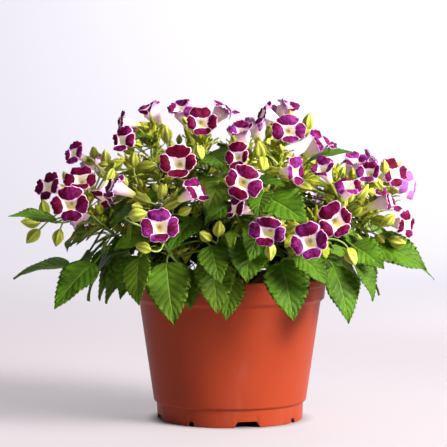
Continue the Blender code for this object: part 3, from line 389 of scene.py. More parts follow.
def bloom_axes(azimuth, elevation, roll=0.0):
    """A flower's own axes as rows: its right and up as an onlooker sees its face, and the way it faces."""
    forward = facing(azimuth, elevation)
    up = facing(azimuth, elevation + 90)
    side = np.cross(up, forward)
    r = math.radians(roll)
    return np.array(
        (side * math.cos(r) + up * math.sin(r), up * math.cos(r) - side * math.sin(r), forward)
    )


def smooth_line(points, count):
    """A cubic curve through the points, read at count places spaced evenly by parameter; its slope at each
    point is half the way from the one before to the one after."""
    p = np.array(points, float)
    p = np.vstack((2 * p[0] - p[1], p, 2 * p[-1] - p[-2]))
    t = np.linspace(0, len(p) - 3, count)
    k = np.minimum(t.astype(int), len(p) - 4)
    f = (t - k)[:, None]
    a, b, c, d = p[k], p[k + 1], p[k + 2], p[k + 3]
    bends = (c - a) * f + (2 * a - 5 * b + 4 * c - d) * f**2 + (3 * b - a - 3 * c + d) * f**3
    return 0.5 * (2 * b + bends)


def stalk_line(start, end, out, rise, count=STALK_POINTS):
    """A cubic that reaches end heading along out; rise lifts its first half by that share of its length."""
    start = start - unit(end - start) * ROOT_SINK
    reach = np.linalg.norm(end - start)
    handle_a = start + (end - start) * STALK_LEAVES + np.array((0, 0, rise * reach))
    handle_b = end - out * reach * STALK_ARRIVES
    t = np.linspace(0, 1, count)[:, None]
    return (
        start * (1 - t) ** 3
        + handle_a * 3 * t * (1 - t) ** 2
        + handle_b * 3 * t**2 * (1 - t)
        + end * t**3
    )


def rings_along(line, radii, section):
    """A section carried along a line with no twist: point = station + radius (x across + y other)."""
    along = unit(np.gradient(line, axis=0))
    across = np.empty_like(along)
    carried = np.cross(along[0], ASKEW)
    for k, way in enumerate(along):
        carried = unit(carried - way * (carried @ way))
        across[k] = carried
    other = np.cross(along, across)
    spread = section[None, :, :1] * across[:, None] + section[None, :, 1:] * other[:, None]
    return line[:, None] + np.asarray(radii)[:, None, None] * spread


def polygon(sides, closed=True):
    """A regular polygon of radius 1 about the origin; its last point repeats the first if it is closed."""
    a = np.arange(sides + closed) * 2 * math.pi / sides
    ring = np.stack((np.cos(a), np.sin(a)), axis=1)
    if closed:
        ring[-1] = ring[0]
    return ring


class Layout:
    """Where every stem, flower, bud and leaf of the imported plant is, by the rules of the part's source.

    The tries of a rule are drawn again from its seed, and the one that counts is the one whose points the
    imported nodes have.
    """

    def __init__(self):
        self.known = {
            name.removeprefix(STEM_NODE): np.array([v.co for v in made.data.vertices]) / MM
            for name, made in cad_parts.items()
            if name.startswith(STEM_NODE)
        }
        self.lines = {}
        self.stems = []
        self.trace_stems()
        self.calyxes = [self.calyx_route(bloom) for bloom in BLOOMS]
        self.leaves = []
        self.find_listed_leaves()
        self.find_skirt()
        self.find_dome()
        self.buds = []
        self.find_buds()

    def has(self, stem, points):
        """How many of the points are points of the stem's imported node."""
        gaps = np.linalg.norm(self.known[stem][None] - np.atleast_2d(points)[:, None], axis=2)
        return int((gaps.min(axis=1) < SAME_POINT).sum())

    def start_on(self, stem, place, keep_back=PETIOLE_KEEPS_BACK):
        """Where a stalk to place leaves the stem's lines: near, and the lower the more it keeps back."""
        line = np.vstack(self.lines[stem])
        line = line[line[:, 2] > LOWEST_START]
        cost = np.linalg.norm(line - place, axis=1) + keep_back * (line[:, 2] - place[2]).clip(0)
        return line[np.argmin(cost)]

    def nearest_stem(self, place):
        """The stem that passes nearest below a place."""
        return min(self.lines, key=lambda stem: np.linalg.norm(self.start_on(stem, place) - place))

    def trace_stems(self):
        """The stems' lines: the source's coarse ones for the routes, and fine ones to draw."""
        for shoot in SHOOTS:
            first = shoot.points[0]
            if len(first) == 2:
                foot = (*first, GROUND - STEM_HOLE_DEPTH + STEM_FOOT_CLEARANCE)
                through = [(*first, GROUND + STEM_STRAIGHT), *shoot.points[1:]]
                curves = (smooth_line(through, count) for count in (MAIN_STATIONS, MAIN_FINE))
                line, fine = (np.vstack((foot, curve)) for curve in curves)
                thick = STEM_RADIUS
            else:
                through = [self.start_on(shoot.stem, np.array(first, float), 0), *shoot.points[1:]]
                line, fine = (smooth_line(through, count) for count in (FORK_STATIONS, FORK_FINE))
                thick = FORK_RADIUS
            places = np.linspace(0, len(line) - 1 - START_SHORT_OF_TIP, START_PLACES)
            dense = [np.interp(places, np.arange(len(line)), line[:, axis]) for axis in range(3)]
            self.lines.setdefault(shoot.stem, []).append(np.stack(dense, axis=1))
            self.stems.append((shoot.stem, fine, thick))

    def route(self, stem, foot, end, out):
        """A stalk's start and rise: of the source's ways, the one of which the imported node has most."""
        ways = [(self.start_on(stem, foot, back), rise) for back in KEEP_BACKS for rise in RISES]
        section = polygon(STALK_SIDES, closed=False)

        def found(way):
            line = stalk_line(way[0], end, out, way[1])
            return self.has(stem, rings_along(line, [STALK_RADIUS] * STALK_POINTS, section).reshape(-1, 3))

        return max(ways, key=found)

    def calyx_route(self, bloom):
        """How a flower's stalk runs."""
        centre, out = centre_of(bloom), facing(bloom.azimuth, bloom.elevation)
        foot = centre - out * (FACE_TO_STALK + FOOT_BEHIND_FLOWER) * bloom.size
        return self.route(bloom.stem, foot, centre - out * FACE_TO_STALK * bloom.size, out)

    def nudges(self):
        """Random shifts for a list's items, none for the first try and more for each that follows."""
        draw = np.random.default_rng(SEED)
        while True:
            yield draw.normal(0, 1, (TRIES, 6)) * np.linspace(0, 1, TRIES)[:, None]

    def keep_leaf(self, leaf):
        """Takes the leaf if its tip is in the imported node."""
        if self.has(leaf.stem, leaf.tip):
            self.leaves.append((leaf, self.start_on(leaf.stem, np.array(leaf.base))))
            return True
        return False

    def find_listed_leaves(self):
        """The list's leaves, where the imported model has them."""
        for leaf, shifts in zip(LEAVES, self.nudges()):
            for shift in shifts:
                base = np.array(leaf.base) + shift[:3] * LEAF_BASE_NUDGE
                tip = np.array(leaf.tip) + shift[:3] * LEAF_TIP_NUDGE + shift[3:] * LEAF_TIP_DRIFT
                if self.keep_leaf(leaf._replace(base=tuple(base), tip=tuple(tip))):
                    break

    def find_skirt(self):
        """The leaves over the rim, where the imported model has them."""
        draw = np.random.default_rng(SEED + 1)
        for azimuth in np.linspace(SKIRT_FIRST, SKIRT_LAST, SKIRT_LEAVES):
            for shift in draw.uniform(-1, 1, (TRIES, len(SKIRT_SHIFTS))) * SKIRT_SHIFTS:
                around, size = azimuth + shift[0], 1 + shift[1]
                base_reach, base_height = SKIRT_BASE[0] + shift[2], SKIRT_BASE[1] + shift[3]
                base = facing(around, 0) * base_reach + (0, 0, base_height)
                tip_reach = base_reach + (SKIRT_TIP[0] - SKIRT_BASE[0]) * size + shift[4]
                tip_height = base_height + (SKIRT_TIP[1] - SKIRT_BASE[1]) * size
                tip = facing(around + shift[5], 0) * tip_reach + (0, 0, tip_height)
                width = np.linalg.norm(tip - base) * BLADE_WIDTH_SHARE
                stem = self.nearest_stem(base)
                if self.keep_leaf(Leaf(stem, tuple(base), tuple(tip), width, around, SKIRT_LOOK_UP)):
                    break

    def find_dome(self):
        """The leaves over the dome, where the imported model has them."""
        draw = np.random.default_rng(SEED + 2)
        for number in range(DOME_LEAVES):
            height = (number + 0.5) / DOME_LEAVES
            for shift in draw.uniform(-1, 1, (TRIES, len(DOME_SHIFTS))) * DOME_SHIFTS:
                azimuth = GOLDEN_ANGLE * number + shift[0]
                elevation = math.degrees(math.asin(height)) + shift[1]
                out, down = facing(azimuth, elevation), facing(azimuth, elevation - 90)
                reaches = np.array((DOME_REACH, DOME_REACH, DOME_RISE)) * (DOME_FILL + shift[2])
                turn = math.radians(shift[3])
                side = np.cross(out, down) * math.sin(turn)
                heading = unit(down * math.cos(turn) + side + out * (DOME_OUTWARD + shift[4]))
                length = LEAF_LENGTH * (1 - DOME_TOP_SHRINK * height) * (1 + shift[5])
                base = out * reaches + (0, 0, DOME_HEIGHT) - heading * length * DOME_PIVOT
                ends = tuple(base), tuple(base + heading * length)
                look = azimuth, elevation + DOME_LOOK_UP
                if self.keep_leaf(Leaf(self.nearest_stem(base), *ends, length * BLADE_WIDTH_SHARE, *look)):
                    break

    def find_buds(self):
        """The list's buds with the routes of their stalks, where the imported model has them."""
        for bud, shifts in zip(BUDS, self.nudges()):
            out = facing(bud.azimuth, bud.elevation)
            half = BUD_LENGTH * bud.size / 2
            for shift in shifts:
                centre = centre_of(bud) + shift[:3] * BUD_NUDGE
                if self.has(bud.stem, centre + out * half):
                    foot = centre - out * (BUD_LENGTH / 2 + FOOT_BEHIND_BUD)
                    start, rise = self.route(bud.stem, foot, centre - out * half, out)
                    self.buds.append((bud._replace(x=centre[0], y=centre[1], z=centre[2]), start, rise))
                    break


class Skin:
    """Grids of points gathered into one mesh, with the place on the surface at each corner and each shape's
    tone."""

    def __init__(self):
        self.points = []
        self.tones = []
        self.faces, self.places, self.finishes = ({4: [], 3: []} for _ in range(3))
        self.count = 0

    def add(self, grid, across=None, down=None, tone=0.0, finish=0):
        """Adds a grid of rows and columns of points as a surface.

        Points in one place become one, which closes its seams and poles, and a face keeps its separate
        corners only. Faces turn outwards by the sign of the closed volume, which sums a corner times the
        cross product of the face's diagonals.
        """
        rows, columns = grid.shape[:2]
        across = np.linspace(0, 1, columns) if across is None else across
        down = np.linspace(0, 1, rows) if down is None else down
        flat = grid.reshape(-1, 3)
        _, first, back = np.unique(np.round(flat, 3), axis=0, return_index=True, return_inverse=True)
        place = np.broadcast_arrays(np.atleast_2d(across), np.atleast_2d(down).reshape(-1, 1))

        def at_corners(values):
            """The values at the four corners of every face of the grid."""
            turn = ((0, 0), (1, 0), (1, 1), (0, 1))
            return np.stack([values[r : rows - 1 + r, c : columns - 1 + c] for r, c in turn], axis=2)

        quads = at_corners(back.reshape(rows, columns)).reshape(-1, 4)
        places = at_corners(np.stack(place, axis=2)).reshape(-1, 4, 2)
        own = flat[first]
        a, b, c, d = (own[quads[:, k]] for k in range(4))
        if (np.cross(c - a, d - b) * (a + b + c + d)).sum() < 0:
            quads, places = quads[:, ::-1], places[:, ::-1]
        kept = quads != np.roll(quads, 1, axis=1)
        for corners in (4, 3):
            which = kept.sum(axis=1) == corners
            self.faces[corners].append((quads[which][kept[which]] + self.count).reshape(-1, corners))
            self.places[corners].append(places[which][kept[which]])
            self.finishes[corners].append(np.full(which.sum(), finish))
        self.points.append(own)
        self.tones.append(np.full(len(own), tone))
        self.count += len(own)

    def mesh(self, name, low=-np.inf, high=np.inf):
        """The mesh of all that was added, kept between two corners of a box: quads, then triangles."""
        made = bpy.data.meshes.new(name)
        faces = [face for corners in (4, 3) for face in np.vstack(self.faces[corners]).tolist()]
        made.from_pydata(np.clip(np.vstack(self.points) * MM, low, high), [], faces)
        return made

    def piece(self, name, slot, finishes, replaces=(), sharp=None):
        """The object of all that was added, inside the CAD model's box, riding on the part's one body."""
        mesh = self.mesh(name, BOX_LOW, BOX_HIGH)
        layer = mesh.uv_layers.new(name="place")
        layer.data.foreach_set("uv", np.concatenate(self.places[4] + self.places[3]).ravel())
        tone = mesh.attributes.new("tone", "FLOAT", "POINT")
        tone.data.foreach_set("value", np.concatenate(self.tones))
        for finish in finishes:
            mesh.materials.append(finish)
        mesh.polygons.foreach_set("material_index", np.concatenate(self.finishes[4] + self.finishes[3]))
        mesh.shade_smooth()
        if sharp is not None:
            mesh.set_sharp_from_angle(angle=math.radians(sharp))
        mesh.update()
        made = placed(name, mesh)
        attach(made, "root")
        if replaces:
            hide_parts(*replaces)
        return made


def placed(name, data):
    """A new object of that mesh, lamp or camera, in the scene's own collection."""
    made = bpy.data.objects.new(name, data)
    bpy.context.scene.collection.objects.link(made)
    return made


class Wire:
    """A shader socket on which maths reads as an expression and adds Math nodes."""

    def __init__(self, finish, socket):
        self.finish = finish
        self.socket = socket

    def maths(self, operation, *values):
        return self.finish.node("Math", {"operation": operation}, dict(enumerate(values)))

    def __add__(self, other):
        return self.maths("ADD", self, other)

    __radd__ = __add__

    def __sub__(self, other):
        return self.maths("SUBTRACT", self, other)

    def __rsub__(self, other):
        return self.maths("SUBTRACT", other, self)

    def __mul__(self, other):
        return self.maths("MULTIPLY", self, other)

    __rmul__ = __mul__

    def __pow__(self, other):
        return self.maths("POWER", self, other)

    def __abs__(self):
        return self.maths("ABSOLUTE", self)

    def fract(self):
        """What is left of it above the next whole number below."""
        return self.maths("FRACT", self)

    def folded(self):
        """1 at every whole number, falling evenly to 0 halfway between two."""
        return abs(self.fract() * 2.0 - 1.0)

    def clamped(self):
        """It, kept between 0 and 1."""
        return self.finish.node("Clamp", {}, {0: self})

    def above(self, low, high):
        """0 below low, 1 above high, and a smooth rise between them."""
        settings = {"interpolation_type": "SMOOTHSTEP"}
        return self.finish.node("MapRange", settings, {0: self, 1: low, 2: high})

    def below(self, low, high):
        """1 below low, 0 above high, and a smooth fall between them."""
        return 1.0 - self.above(low, high)


class Finish:
    """A material with one Principled shader and the nodes that feed it."""

    def __init__(self, name, **constants):
        self.material = bpy.data.materials.new(name)
        self.material.use_nodes = True
        self.tree = self.material.node_tree
        self.shader = self.tree.nodes["Principled BSDF"]
        for key, value in constants.items():
            self.shader.inputs[key.replace("_", " ")].default_value = value

    def node(self, kind, settings, sockets, output=0):
        """Adds a node of that type with its settings, fills its sockets, and gives one of its outputs."""
        made = self.tree.nodes.new("ShaderNode" + kind)
        for key, value in settings.items():
            setattr(made, key, value)
        for key, value in sockets.items():
            self.fill(made.inputs[key], value)
        return Wire(self, made.outputs[output])

    def fill(self, socket, value):
        """Links a socket, or sets its value."""
        if isinstance(value, Wire):
            self.tree.links.new(value.socket, socket)
        else:
            socket.default_value = (*value, 1.0) if socket.type == "RGBA" else value

    def feed(self, name, value):
        """Sends what changes over the surface to the shader."""
        self.fill(self.shader.inputs[name], value)

    def mix(self, share, low, high):
        """A colour from low to high by share."""
        settings = {"data_type": "RGBA", "blend_type": "MIX"}
        return self.node("Mix", settings, {0: share, 6: low, 7: high}, 2)

    def object_place(self):
        """The place in the object's own space."""
        return self.node("TexCoord", {}, {}, "Object")

    def surface_place(self):
        """The two coordinates along the surface that its formula gave."""
        place = self.node("UVMap", {"uv_map": "place"}, {})
        split = self.node("SeparateXYZ", {}, {0: place})
        return split, Wire(self, split.socket.node.outputs[1])

    def tone(self):
        """The tone of the shape that the point belongs to."""
        return self.node("Attribute", {"attribute_name": "tone"}, {}, "Fac")

    def noise(self, scale, detail=2.0, place=None):
        """Cloudy noise of 0 to 1, whose patches measure about 1 / scale metres."""
        sockets = {"Vector": place or self.object_place(), "Scale": scale, "Detail": detail}
        return self.node("TexNoise", {}, sockets)

    def stretched(self, x, y, z):
        """The object's place scaled apart along its axes, so that a pattern on it runs long one way."""
        return self.node("VectorMath", {"operation": "MULTIPLY"}, {0: self.object_place(), 1: (x, y, z)})

    def bump(self, height, strength, distance):
        """Roughens the surface by a height."""
        normal = self.node("Bump", {}, {"Strength": strength, "Distance": distance, "Height": height})
        self.feed("Normal", normal)


BLACK = (0.0, 0.0, 0.0)
STEM_GREEN, STEM_PALE, STEM_FLUSH = linear(112, 142, 52), linear(160, 182, 90), linear(120, 70, 45)
WING_PALE = linear(214, 220, 106)
PETAL_PURPLE, FADED_LILAC = linear(146, 62, 158), linear(178, 118, 198)
EDGE_PINK, EDGE_LILAC = linear(228, 168, 206), linear(192, 118, 204)
THROAT_WHITE, THROAT_GREEN = linear(228, 220, 214), linear(206, 208, 158)
THROAT_BROWN, BLOTCH_YELLOW = linear(140, 116, 30), linear(250, 230, 84)
TUBE_LILAC, TUBE_GREEN = linear(168, 96, 190), linear(214, 214, 120)

# Scatter of light in green leaves and in petals, as shares of red, green and blue
LEAF_SCATTER, PETAL_SCATTER = (0.35, 1.0, 0.12), (1.0, 0.5, 0.7)

# Side veins on each side of a leaf, and by how many times their spacing they run forward to the edge
SIDE_VEINS, VEIN_LEAN = 7.5, 2.1

# The tones of a leaf in the plant's depth and of an upper flower at the least, both painted shade, and of
# the fading flower
DEEP_SHADE_TONE, UPPER_FLOWER_SHADE_TONE, FADED_TONE = -0.65, 0.9, 1.5


def plastic_finish(plastic):
    """Satin moulded plastic: broad cloudiness, faint rings from its mould, thin dust and fine pitting."""
    f = Finish("pot_plastic", Specular_IOR_Level=0.1)
    cloud = f.noise(14.0)
    dust = f.noise(60.0, 4.0, f.stretched(1, 1, 0.35)).above(0.56, 0.78)
    worn = tuple(0.8 * c + 0.06 for c in plastic)
    body = f.mix(cloud.above(0.35, 0.65), plastic, darker(plastic, 0.85))
    f.feed("Base Color", f.mix(dust * 0.22, body, worn))
    f.feed("Roughness", 0.36 + cloud * 0.1 + dust * 0.15)
    rings = f.noise(1.0, 1.0, f.stretched(8, 8, 900))
    f.bump(f.noise(1400.0) * 0.5 + rings * 0.5, 0.12, 0.0002)
    return f.material


def soil_finish(dark, fibre):
    """Potting soil: dark crumbs, lighter bark fibres and strong relief."""
    f = Finish("potting_soil", Roughness=0.95, Specular_IOR_Level=0.2)
    crumbs = f.noise(420.0, 6.0)
    bark = f.noise(900.0, 3.0, f.stretched(1, 0.3, 1)).above(0.6, 0.72)
    body = f.mix(crumbs.above(0.35, 0.65), darker(dark, 0.4), dark)
    f.feed("Base Color", f.mix(bark * 0.7, body, fibre))
    f.bump(crumbs, 0.9, 0.002)
    return f.material


def leaf_finish(mature, young, vein, under):
    """A leaf: pale veins that branch forward from the rib, puckers between them and a pale underside.

    Its tone is 0 where it is grown, 1 where it is young and yellow-green, and below 0 where it stands deep
    in the plant, where painted shade darkens it to nearly black.
    """
    f = Finish("leaf", Subsurface_Weight=0.15, Subsurface_Scale=0.002, Specular_IOR_Level=0.16)
    f.shader.inputs["Subsurface Radius"].default_value = LEAF_SCATTER
    across, along = f.surface_place()
    from_rib = abs(across * 2.0 - 1.0)
    back = along.above(1.5, 1.6)
    length = along - back * 2.0
    ridge = (length * SIDE_VEINS - from_rib * VEIN_LEAN).folded()
    side_vein = ridge.above(0.82, 0.98) * from_rib.below(0.7, 1.0)
    rib = from_rib.below(0.015, 0.06)
    cells = {"Vector": f.object_place(), "Scale": 620.0}
    mesh = f.node("TexVoronoi", {"feature": "DISTANCE_TO_EDGE"}, cells).below(0.02, 0.12)
    tone = f.tone()
    cloud = f.noise(70.0, 3.0)
    green = f.mix(cloud.above(0.3, 0.7), darker(mature, 0.5), mature)
    # Painted shade: a tone below 0 darkens the green towards black, deep in the plant
    green = f.mix(tone.above(-0.7, 0.0), darker(mature, 0.06), green)
    green = f.mix(tone, green, young)
    green = f.mix(back * 0.75, green, under)
    veined = rib * 0.5 + (1.0 - rib) * (side_vein * 0.28 + mesh * 0.08)
    f.feed("Base Color", f.mix(veined, green, vein))
    f.feed("Roughness", 0.45 + cloud * 0.12 + back * 0.2)
    pucker = ridge * -1.0 + rib * -1.4 + mesh * -0.3
    f.bump(pucker * (1.0 - back * 1.8), 0.6, 0.0008)
    return f.material


def stem_finish():
    """A soft green stem, streaked along its length, with a flush of red-brown at its foot."""
    f = Finish("stem", Subsurface_Weight=0.15, Subsurface_Scale=0.003, Roughness=0.5)
    streak = f.noise(300.0, 3.0, f.stretched(1, 1, 0.12))
    height = f.node("SeparateXYZ", {}, {0: f.object_place()}, 2)
    flush = height.below(0.10, 0.14) * f.noise(60.0)
    body = f.mix(streak.above(0.35, 0.65), STEM_GREEN, STEM_PALE)
    f.feed("Base Color", f.mix(flush * 0.5, body, STEM_FLUSH))
    f.bump(streak, 0.3, 0.0004)
    return f.material


def calyx_finish(green):
    """A calyx or bud: yellow-green with five pale wings, darker green between them, and fine ribs."""
    f = Finish("calyx", Subsurface_Weight=0.2, Subsurface_Scale=0.002, Roughness=0.5,
               Specular_IOR_Level=0.25)
    across, _ = f.surface_place()
    wing = (across * 5.0).folded()
    cloud = f.noise(260.0, 3.0)
    body = f.mix(f.tone() * 0.6, green, WING_PALE)
    body = f.mix(cloud.above(0.3, 0.7) * 0.35, body, darker(green, 0.6))
    body = f.mix(wing.below(0.25, 0.6) * 0.42, body, darker(green, 0.32))
    f.feed("Base Color", f.mix(wing.above(0.88, 1.0) * 0.7, body, WING_PALE))
    f.bump((across * 20.0).folded() * 0.5 + cloud * 0.5, 0.35, 0.0004)
    return f.material


def petal_patch(f, around, along, tone, ragged):
    """1 in the dark patch of each lobe and 0 round it: inward, outward and sideways distances from its
    middle, each to a power of its own, add up to 1 at its border."""
    width = (around * 4.0).folded() * (1.0 + 0.08 * (tone * 5.0).fract()) + ragged * 0.08
    inward = ((0.56 - along) * 1.9 + (f.noise(170.0) - 0.5) * 0.9 + ragged * 0.2).clamped()
    outward = ((along - 0.50 + ragged * 0.05) * 2.12).clamped()
    return (inward**3.0 + outward**7.0 + width**5.0).below(0.8, 1.0)


def petal_velvet(f, tone, bluish, streak, crimson, violet):
    """The patch's colour: crimson clouded with violet and streaked with dark, bluer in some flowers, at
    random and on the upper flowers as painted shade, and pale lilac in the fading one."""
    cloud, fine = f.noise(115.0), f.noise(420.0, 3.0)
    velvet = f.mix((cloud.above(0.38, 0.62) * 0.7 + tone * 0.8 - 0.38).above(0.0, 1.0), crimson, violet)
    velvet = f.mix(bluish * cloud.above(0.44, 0.68) * 0.5, velvet, PETAL_PURPLE)
    velvet = f.mix((fine * 0.5 + streak * 0.5).above(0.42, 0.60) * 0.75, velvet, darker(crimson, 0.22))
    return f.mix(tone.above(1.2, 1.3) * 0.5, velvet, FADED_LILAC)


def petal_throat(f, around, along, tone, pale):
    """White that turns greenish and then brown down the throat, with a yellow blotch at its lower side."""
    inside = f.mix(along.below(-0.15, 0.1) * 0.8, pale, THROAT_WHITE)
    inside = f.mix(along.below(-0.75, -0.2) * 0.5, inside, THROAT_GREEN)
    blotch = abs(around - 0.625).below(0.05, 0.17) * along.below(-0.2, 0.05)
    inside = f.mix(blotch * (0.4 + 0.6 * (tone * 3.0).fract()), inside, BLOTCH_YELLOW)
    return f.mix(along.below(-0.97, -0.7) * 0.8, inside, THROAT_BROWN)


def petal_outside(f, along, tone, flushed, violet, pale):
    """The outside: flushed behind the lobes, lilac or white at the mouth by the tone, whose lilac on the
    upper flowers is painted shade, yellow-green at the foot.
    """
    white = f.mix(along.below(1.2, 1.65) * (0.1 + tone.above(0.3, 0.95) * 0.75), pale, TUBE_LILAC)
    outside = f.mix(along.above(1.3, 1.6) * 0.45, f.mix(flushed, white, violet), EDGE_PINK)
    return f.mix(along.above(1.66, 1.94), outside, TUBE_GREEN)


def petal_finish(crimson, violet, pale):
    """Petals: a dark velvet patch that fills each of four lobes but for a thin pink or lilac edge, white
    strips between them, a white throat with a yellow blotch low down, and a pale outside. All but the
    patches and the flush glow faintly, a painted light for the light that shines through thin petals.

    The place along a flower is -1 at the bottom of its throat, 0 at the throat's mouth, 1 at the lobes'
    edge and 2 at the foot of the tube behind them.
    """
    f = Finish("petal", Subsurface_Weight=0.1, Subsurface_Scale=0.002, Specular_IOR_Level=0.06,
               Emission_Strength=0.17)
    f.shader.inputs["Subsurface Radius"].default_value = PETAL_SCATTER
    around, along = f.surface_place()
    tone = f.tone()
    ragged = f.noise(520.0, 3.0) - 0.5
    streak = f.noise(9.0, 2.0, f.node("CombineXYZ", {}, {0: around * 9.0, 1: along * 0.15, 2: tone * 7.0}))
    # A high tone makes a flower bluer, with lilac edges and outside and a longer flush: at random, and on
    # the upper flowers as painted shade
    bluish = tone.above(0.5, 0.95)
    patch = petal_patch(f, around, along, tone, ragged)
    edge = f.mix(bluish * 0.8, EDGE_PINK, EDGE_LILAC)
    rest = f.mix(along.above(-0.2, 0.25) * 0.75, petal_throat(f, around, along, tone, pale), edge)
    face = f.mix(patch, rest, petal_velvet(f, tone, bluish, streak, crimson, violet))
    worn = 0.8 + ragged * 1.5 - streak.above(0.4, 0.6) * 0.4
    flushed = along.below(1.06, 1.28 + tone * 0.36) * worn
    behind = along.above(1.0, 1.02)
    colour = f.mix(behind, face, petal_outside(f, along, tone, flushed, violet, pale))
    f.feed("Base Color", colour)
    # Painted light: the pale parts glow faintly, as if lit through the petals; the patches and the flush do
    # not
    f.feed("Emission Color", f.mix(patch * (1.0 - behind) + flushed * behind, colour, BLACK))
    f.feed("Roughness", 0.5 + patch * 0.12)
    f.bump((streak + ragged * 0.8) * along.above(0.0, 0.2), 0.35, 0.0005)
    return f.material


def floor_finish(tint):
    """A pale floor that is faintly clouded and glows a little, but for the ground under the pot, which is
    left unlit as a painted contact shadow.
    """
    f = Finish("floor", Roughness=0.7, Specular_IOR_Level=0.1, Emission_Strength=0.35)
    from_axis = f.node("VectorMath", {"operation": "LENGTH"}, {0: f.object_place()}, "Value")
    # Painted shadow: no glow under the pot's foot, fading in towards its edge
    f.feed("Emission Color", f.mix(from_axis.above(*POT_CONTACT_SHADOW), BLACK, FLOOR_GLOW))
    f.feed("Base Color", f.mix(f.noise(3.0), tint, darker(tint, 0.985)))
    return f.material


# The pot's edges are rounded by this much, and those sharper than the angle, in degrees, are drawn sharp
EDGE_ROUNDING, ROUNDING_STEPS = 0.55, 4
SHARP_ANGLE = 32

# The notches' slopes end at this share of their run, their lift fades out up to this far under the floor,
# and it moves only the foot's outer ring, of this depth
NOTCH_SLOPE = 0.8
LIFT_ENDS_UNDER_FLOOR = 0.6
FOOT_RING = 6

# The drain holes' sides, and how far past the floor's faces their cutters reach
DRILL_SIDES, DRILL_PAST = 32, 3

# The soil's grid, whose rows a power draws towards the rim, and how far its shoulder by the wall lies
# under the edge of its top and outside it
SOIL_SIDES, SOIL_TOP_ROWS, SOIL_ROW_SPACING = 144, 60, 0.8
SOIL_SHOULDER_DROP, SOIL_SHOULDER_OUT = 1.5, 0.2

# Fine lumps: how many waves, the least pitch and the range above it, and their height at a pitch of 1
CRUMBLE_WAVES, CRUMBLE_PITCH, CRUMBLE_RANGE, CRUMBLE_HEIGHT = 22, 0.8, 2.2, 0.24

# Loose bits of bark: how far out they lie, how large they are, their proportions and how high they lie
CRUMB_REACH, CRUMB_SIZE, CRUMB_SHAPE, CRUMB_LIFT = 66, (0.6, 1.9), (1.0, 0.6, 0.4), 0.5


def rounded(points, radius):
    """The path with its corners rounded, each a quadratic curve from radius before it to radius after."""
    p = np.array(points, float)
    before, corner, after = p[:-2], p[1:-1], p[2:]
    near = np.minimum(radius, 0.45 * np.linalg.norm(before - corner, axis=1))[:, None]
    far = np.minimum(radius, 0.45 * np.linalg.norm(after - corner, axis=1))[:, None]
    a, b = corner + unit(before - corner) * near, corner + unit(after - corner) * far
    t = np.linspace(0, 1, ROUNDING_STEPS)[None, :, None]
    curve = a[:, None] * (1 - t) ** 2 + corner[:, None] * 2 * t * (1 - t) + b[:, None] * t**2
    return np.vstack((p[:1], curve.reshape(-1, 2), p[-1:]))


def pot_inside():
    """The pot's inner face as radius and height, from the floor's edge up to the rim's band."""
    band = POT_HEIGHT - RIM_BAND_DEPTH
    return (
        (FOOT_RADIUS - FOOT_TAPER - WALL, FLOOR_UNDERSIDE + FLOOR),
        (WALL_FOOT_RADIUS - WALL, FOOT_HEIGHT),
        (WALL_TOP_RADIUS - WALL, band - RIM_CHAMFER - INNER_TURN),
        (RIM_RADIUS - RIM_BAND_THICKNESS, band),
    )


def pot_profile():
    """The pot's section as radius and height: from its axis under the floor, round the wall and back."""
    return (
        (0.0, FLOOR_UNDERSIDE),
        (FOOT_RADIUS - FOOT_TAPER - WALL, FLOOR_UNDERSIDE),
        (FOOT_RADIUS - FOOT_TAPER - WALL, 0.0),
        (FOOT_RADIUS - FOOT_TAPER, 0.0),
        (FOOT_RADIUS, FOOT_HEIGHT - STEP_BELOW),
        (WALL_FOOT_RADIUS, FOOT_HEIGHT + STEP_ABOVE),
        (WALL_TOP_RADIUS, POT_HEIGHT - RIM_BAND_DEPTH - RIM_CHAMFER),
        *((RIM_RADIUS + r, POT_HEIGHT + z) for r, z in RIM_SECTION),
        *reversed(pot_inside()),
        (0.0, FLOOR_UNDERSIDE + FLOOR),
    )


def notches():
    """Each notch's azimuth, how far to either side its slope starts and ends, and its height."""
    for k in range(NOTCH_COUNT):
        below, above, height = NOTCHES[k % 2]
        ends = above / 2, (below * NOTCH_SLOPE + above * (1 - NOTCH_SLOPE)) / 2
        yield NOTCH_FIRST_AZIMUTH + k * 360 / NOTCH_COUNT, ends, height


def notch_lift(angles):
    """How high the foot's lower edge is lifted at each azimuth: by a trapezium over each notch."""
    lift = np.zeros_like(angles)
    for azimuth, ends, height in notches():
        off = (angles - azimuth + 180) % 360 - 180
        lift = np.maximum(lift, np.interp(np.abs(np.radians(off)) * FOOT_RADIUS, ends, (height, 0.0)))
    return lift


def turned_pot(sides):
    """The pot turned about Z: point = (radius sin a, -radius cos a, height + the notches' lift).

    The azimuths are even steps and the ends of each notch's slopes.
    """
    slopes = [
        azimuth + sign * math.degrees(end / FOOT_RADIUS)
        for azimuth, ends, _ in notches() for sign in (-1, 1) for end in ends
    ]
    even = np.arange(sides) * 360 / sides
    angles = np.unique(np.round(np.concatenate((even, np.array(slopes) % 360)), 3))
    angles = np.append(angles, angles[0] + 360)
    profile = rounded(pot_profile(), EDGE_ROUNDING)
    radius, height = profile[:, 0], profile[:, 1]
    room = FLOOR_UNDERSIDE - LIFT_ENDS_UNDER_FLOOR
    share = np.clip(1 - height / room, 0, 1) * (radius > FOOT_RADIUS - FOOT_RING)
    z = height[:, None] + notch_lift(angles)[None] * share[:, None]
    a = np.radians(angles % 360)
    return np.stack((radius[:, None] * np.sin(a), -radius[:, None] * np.cos(a), z), axis=2)


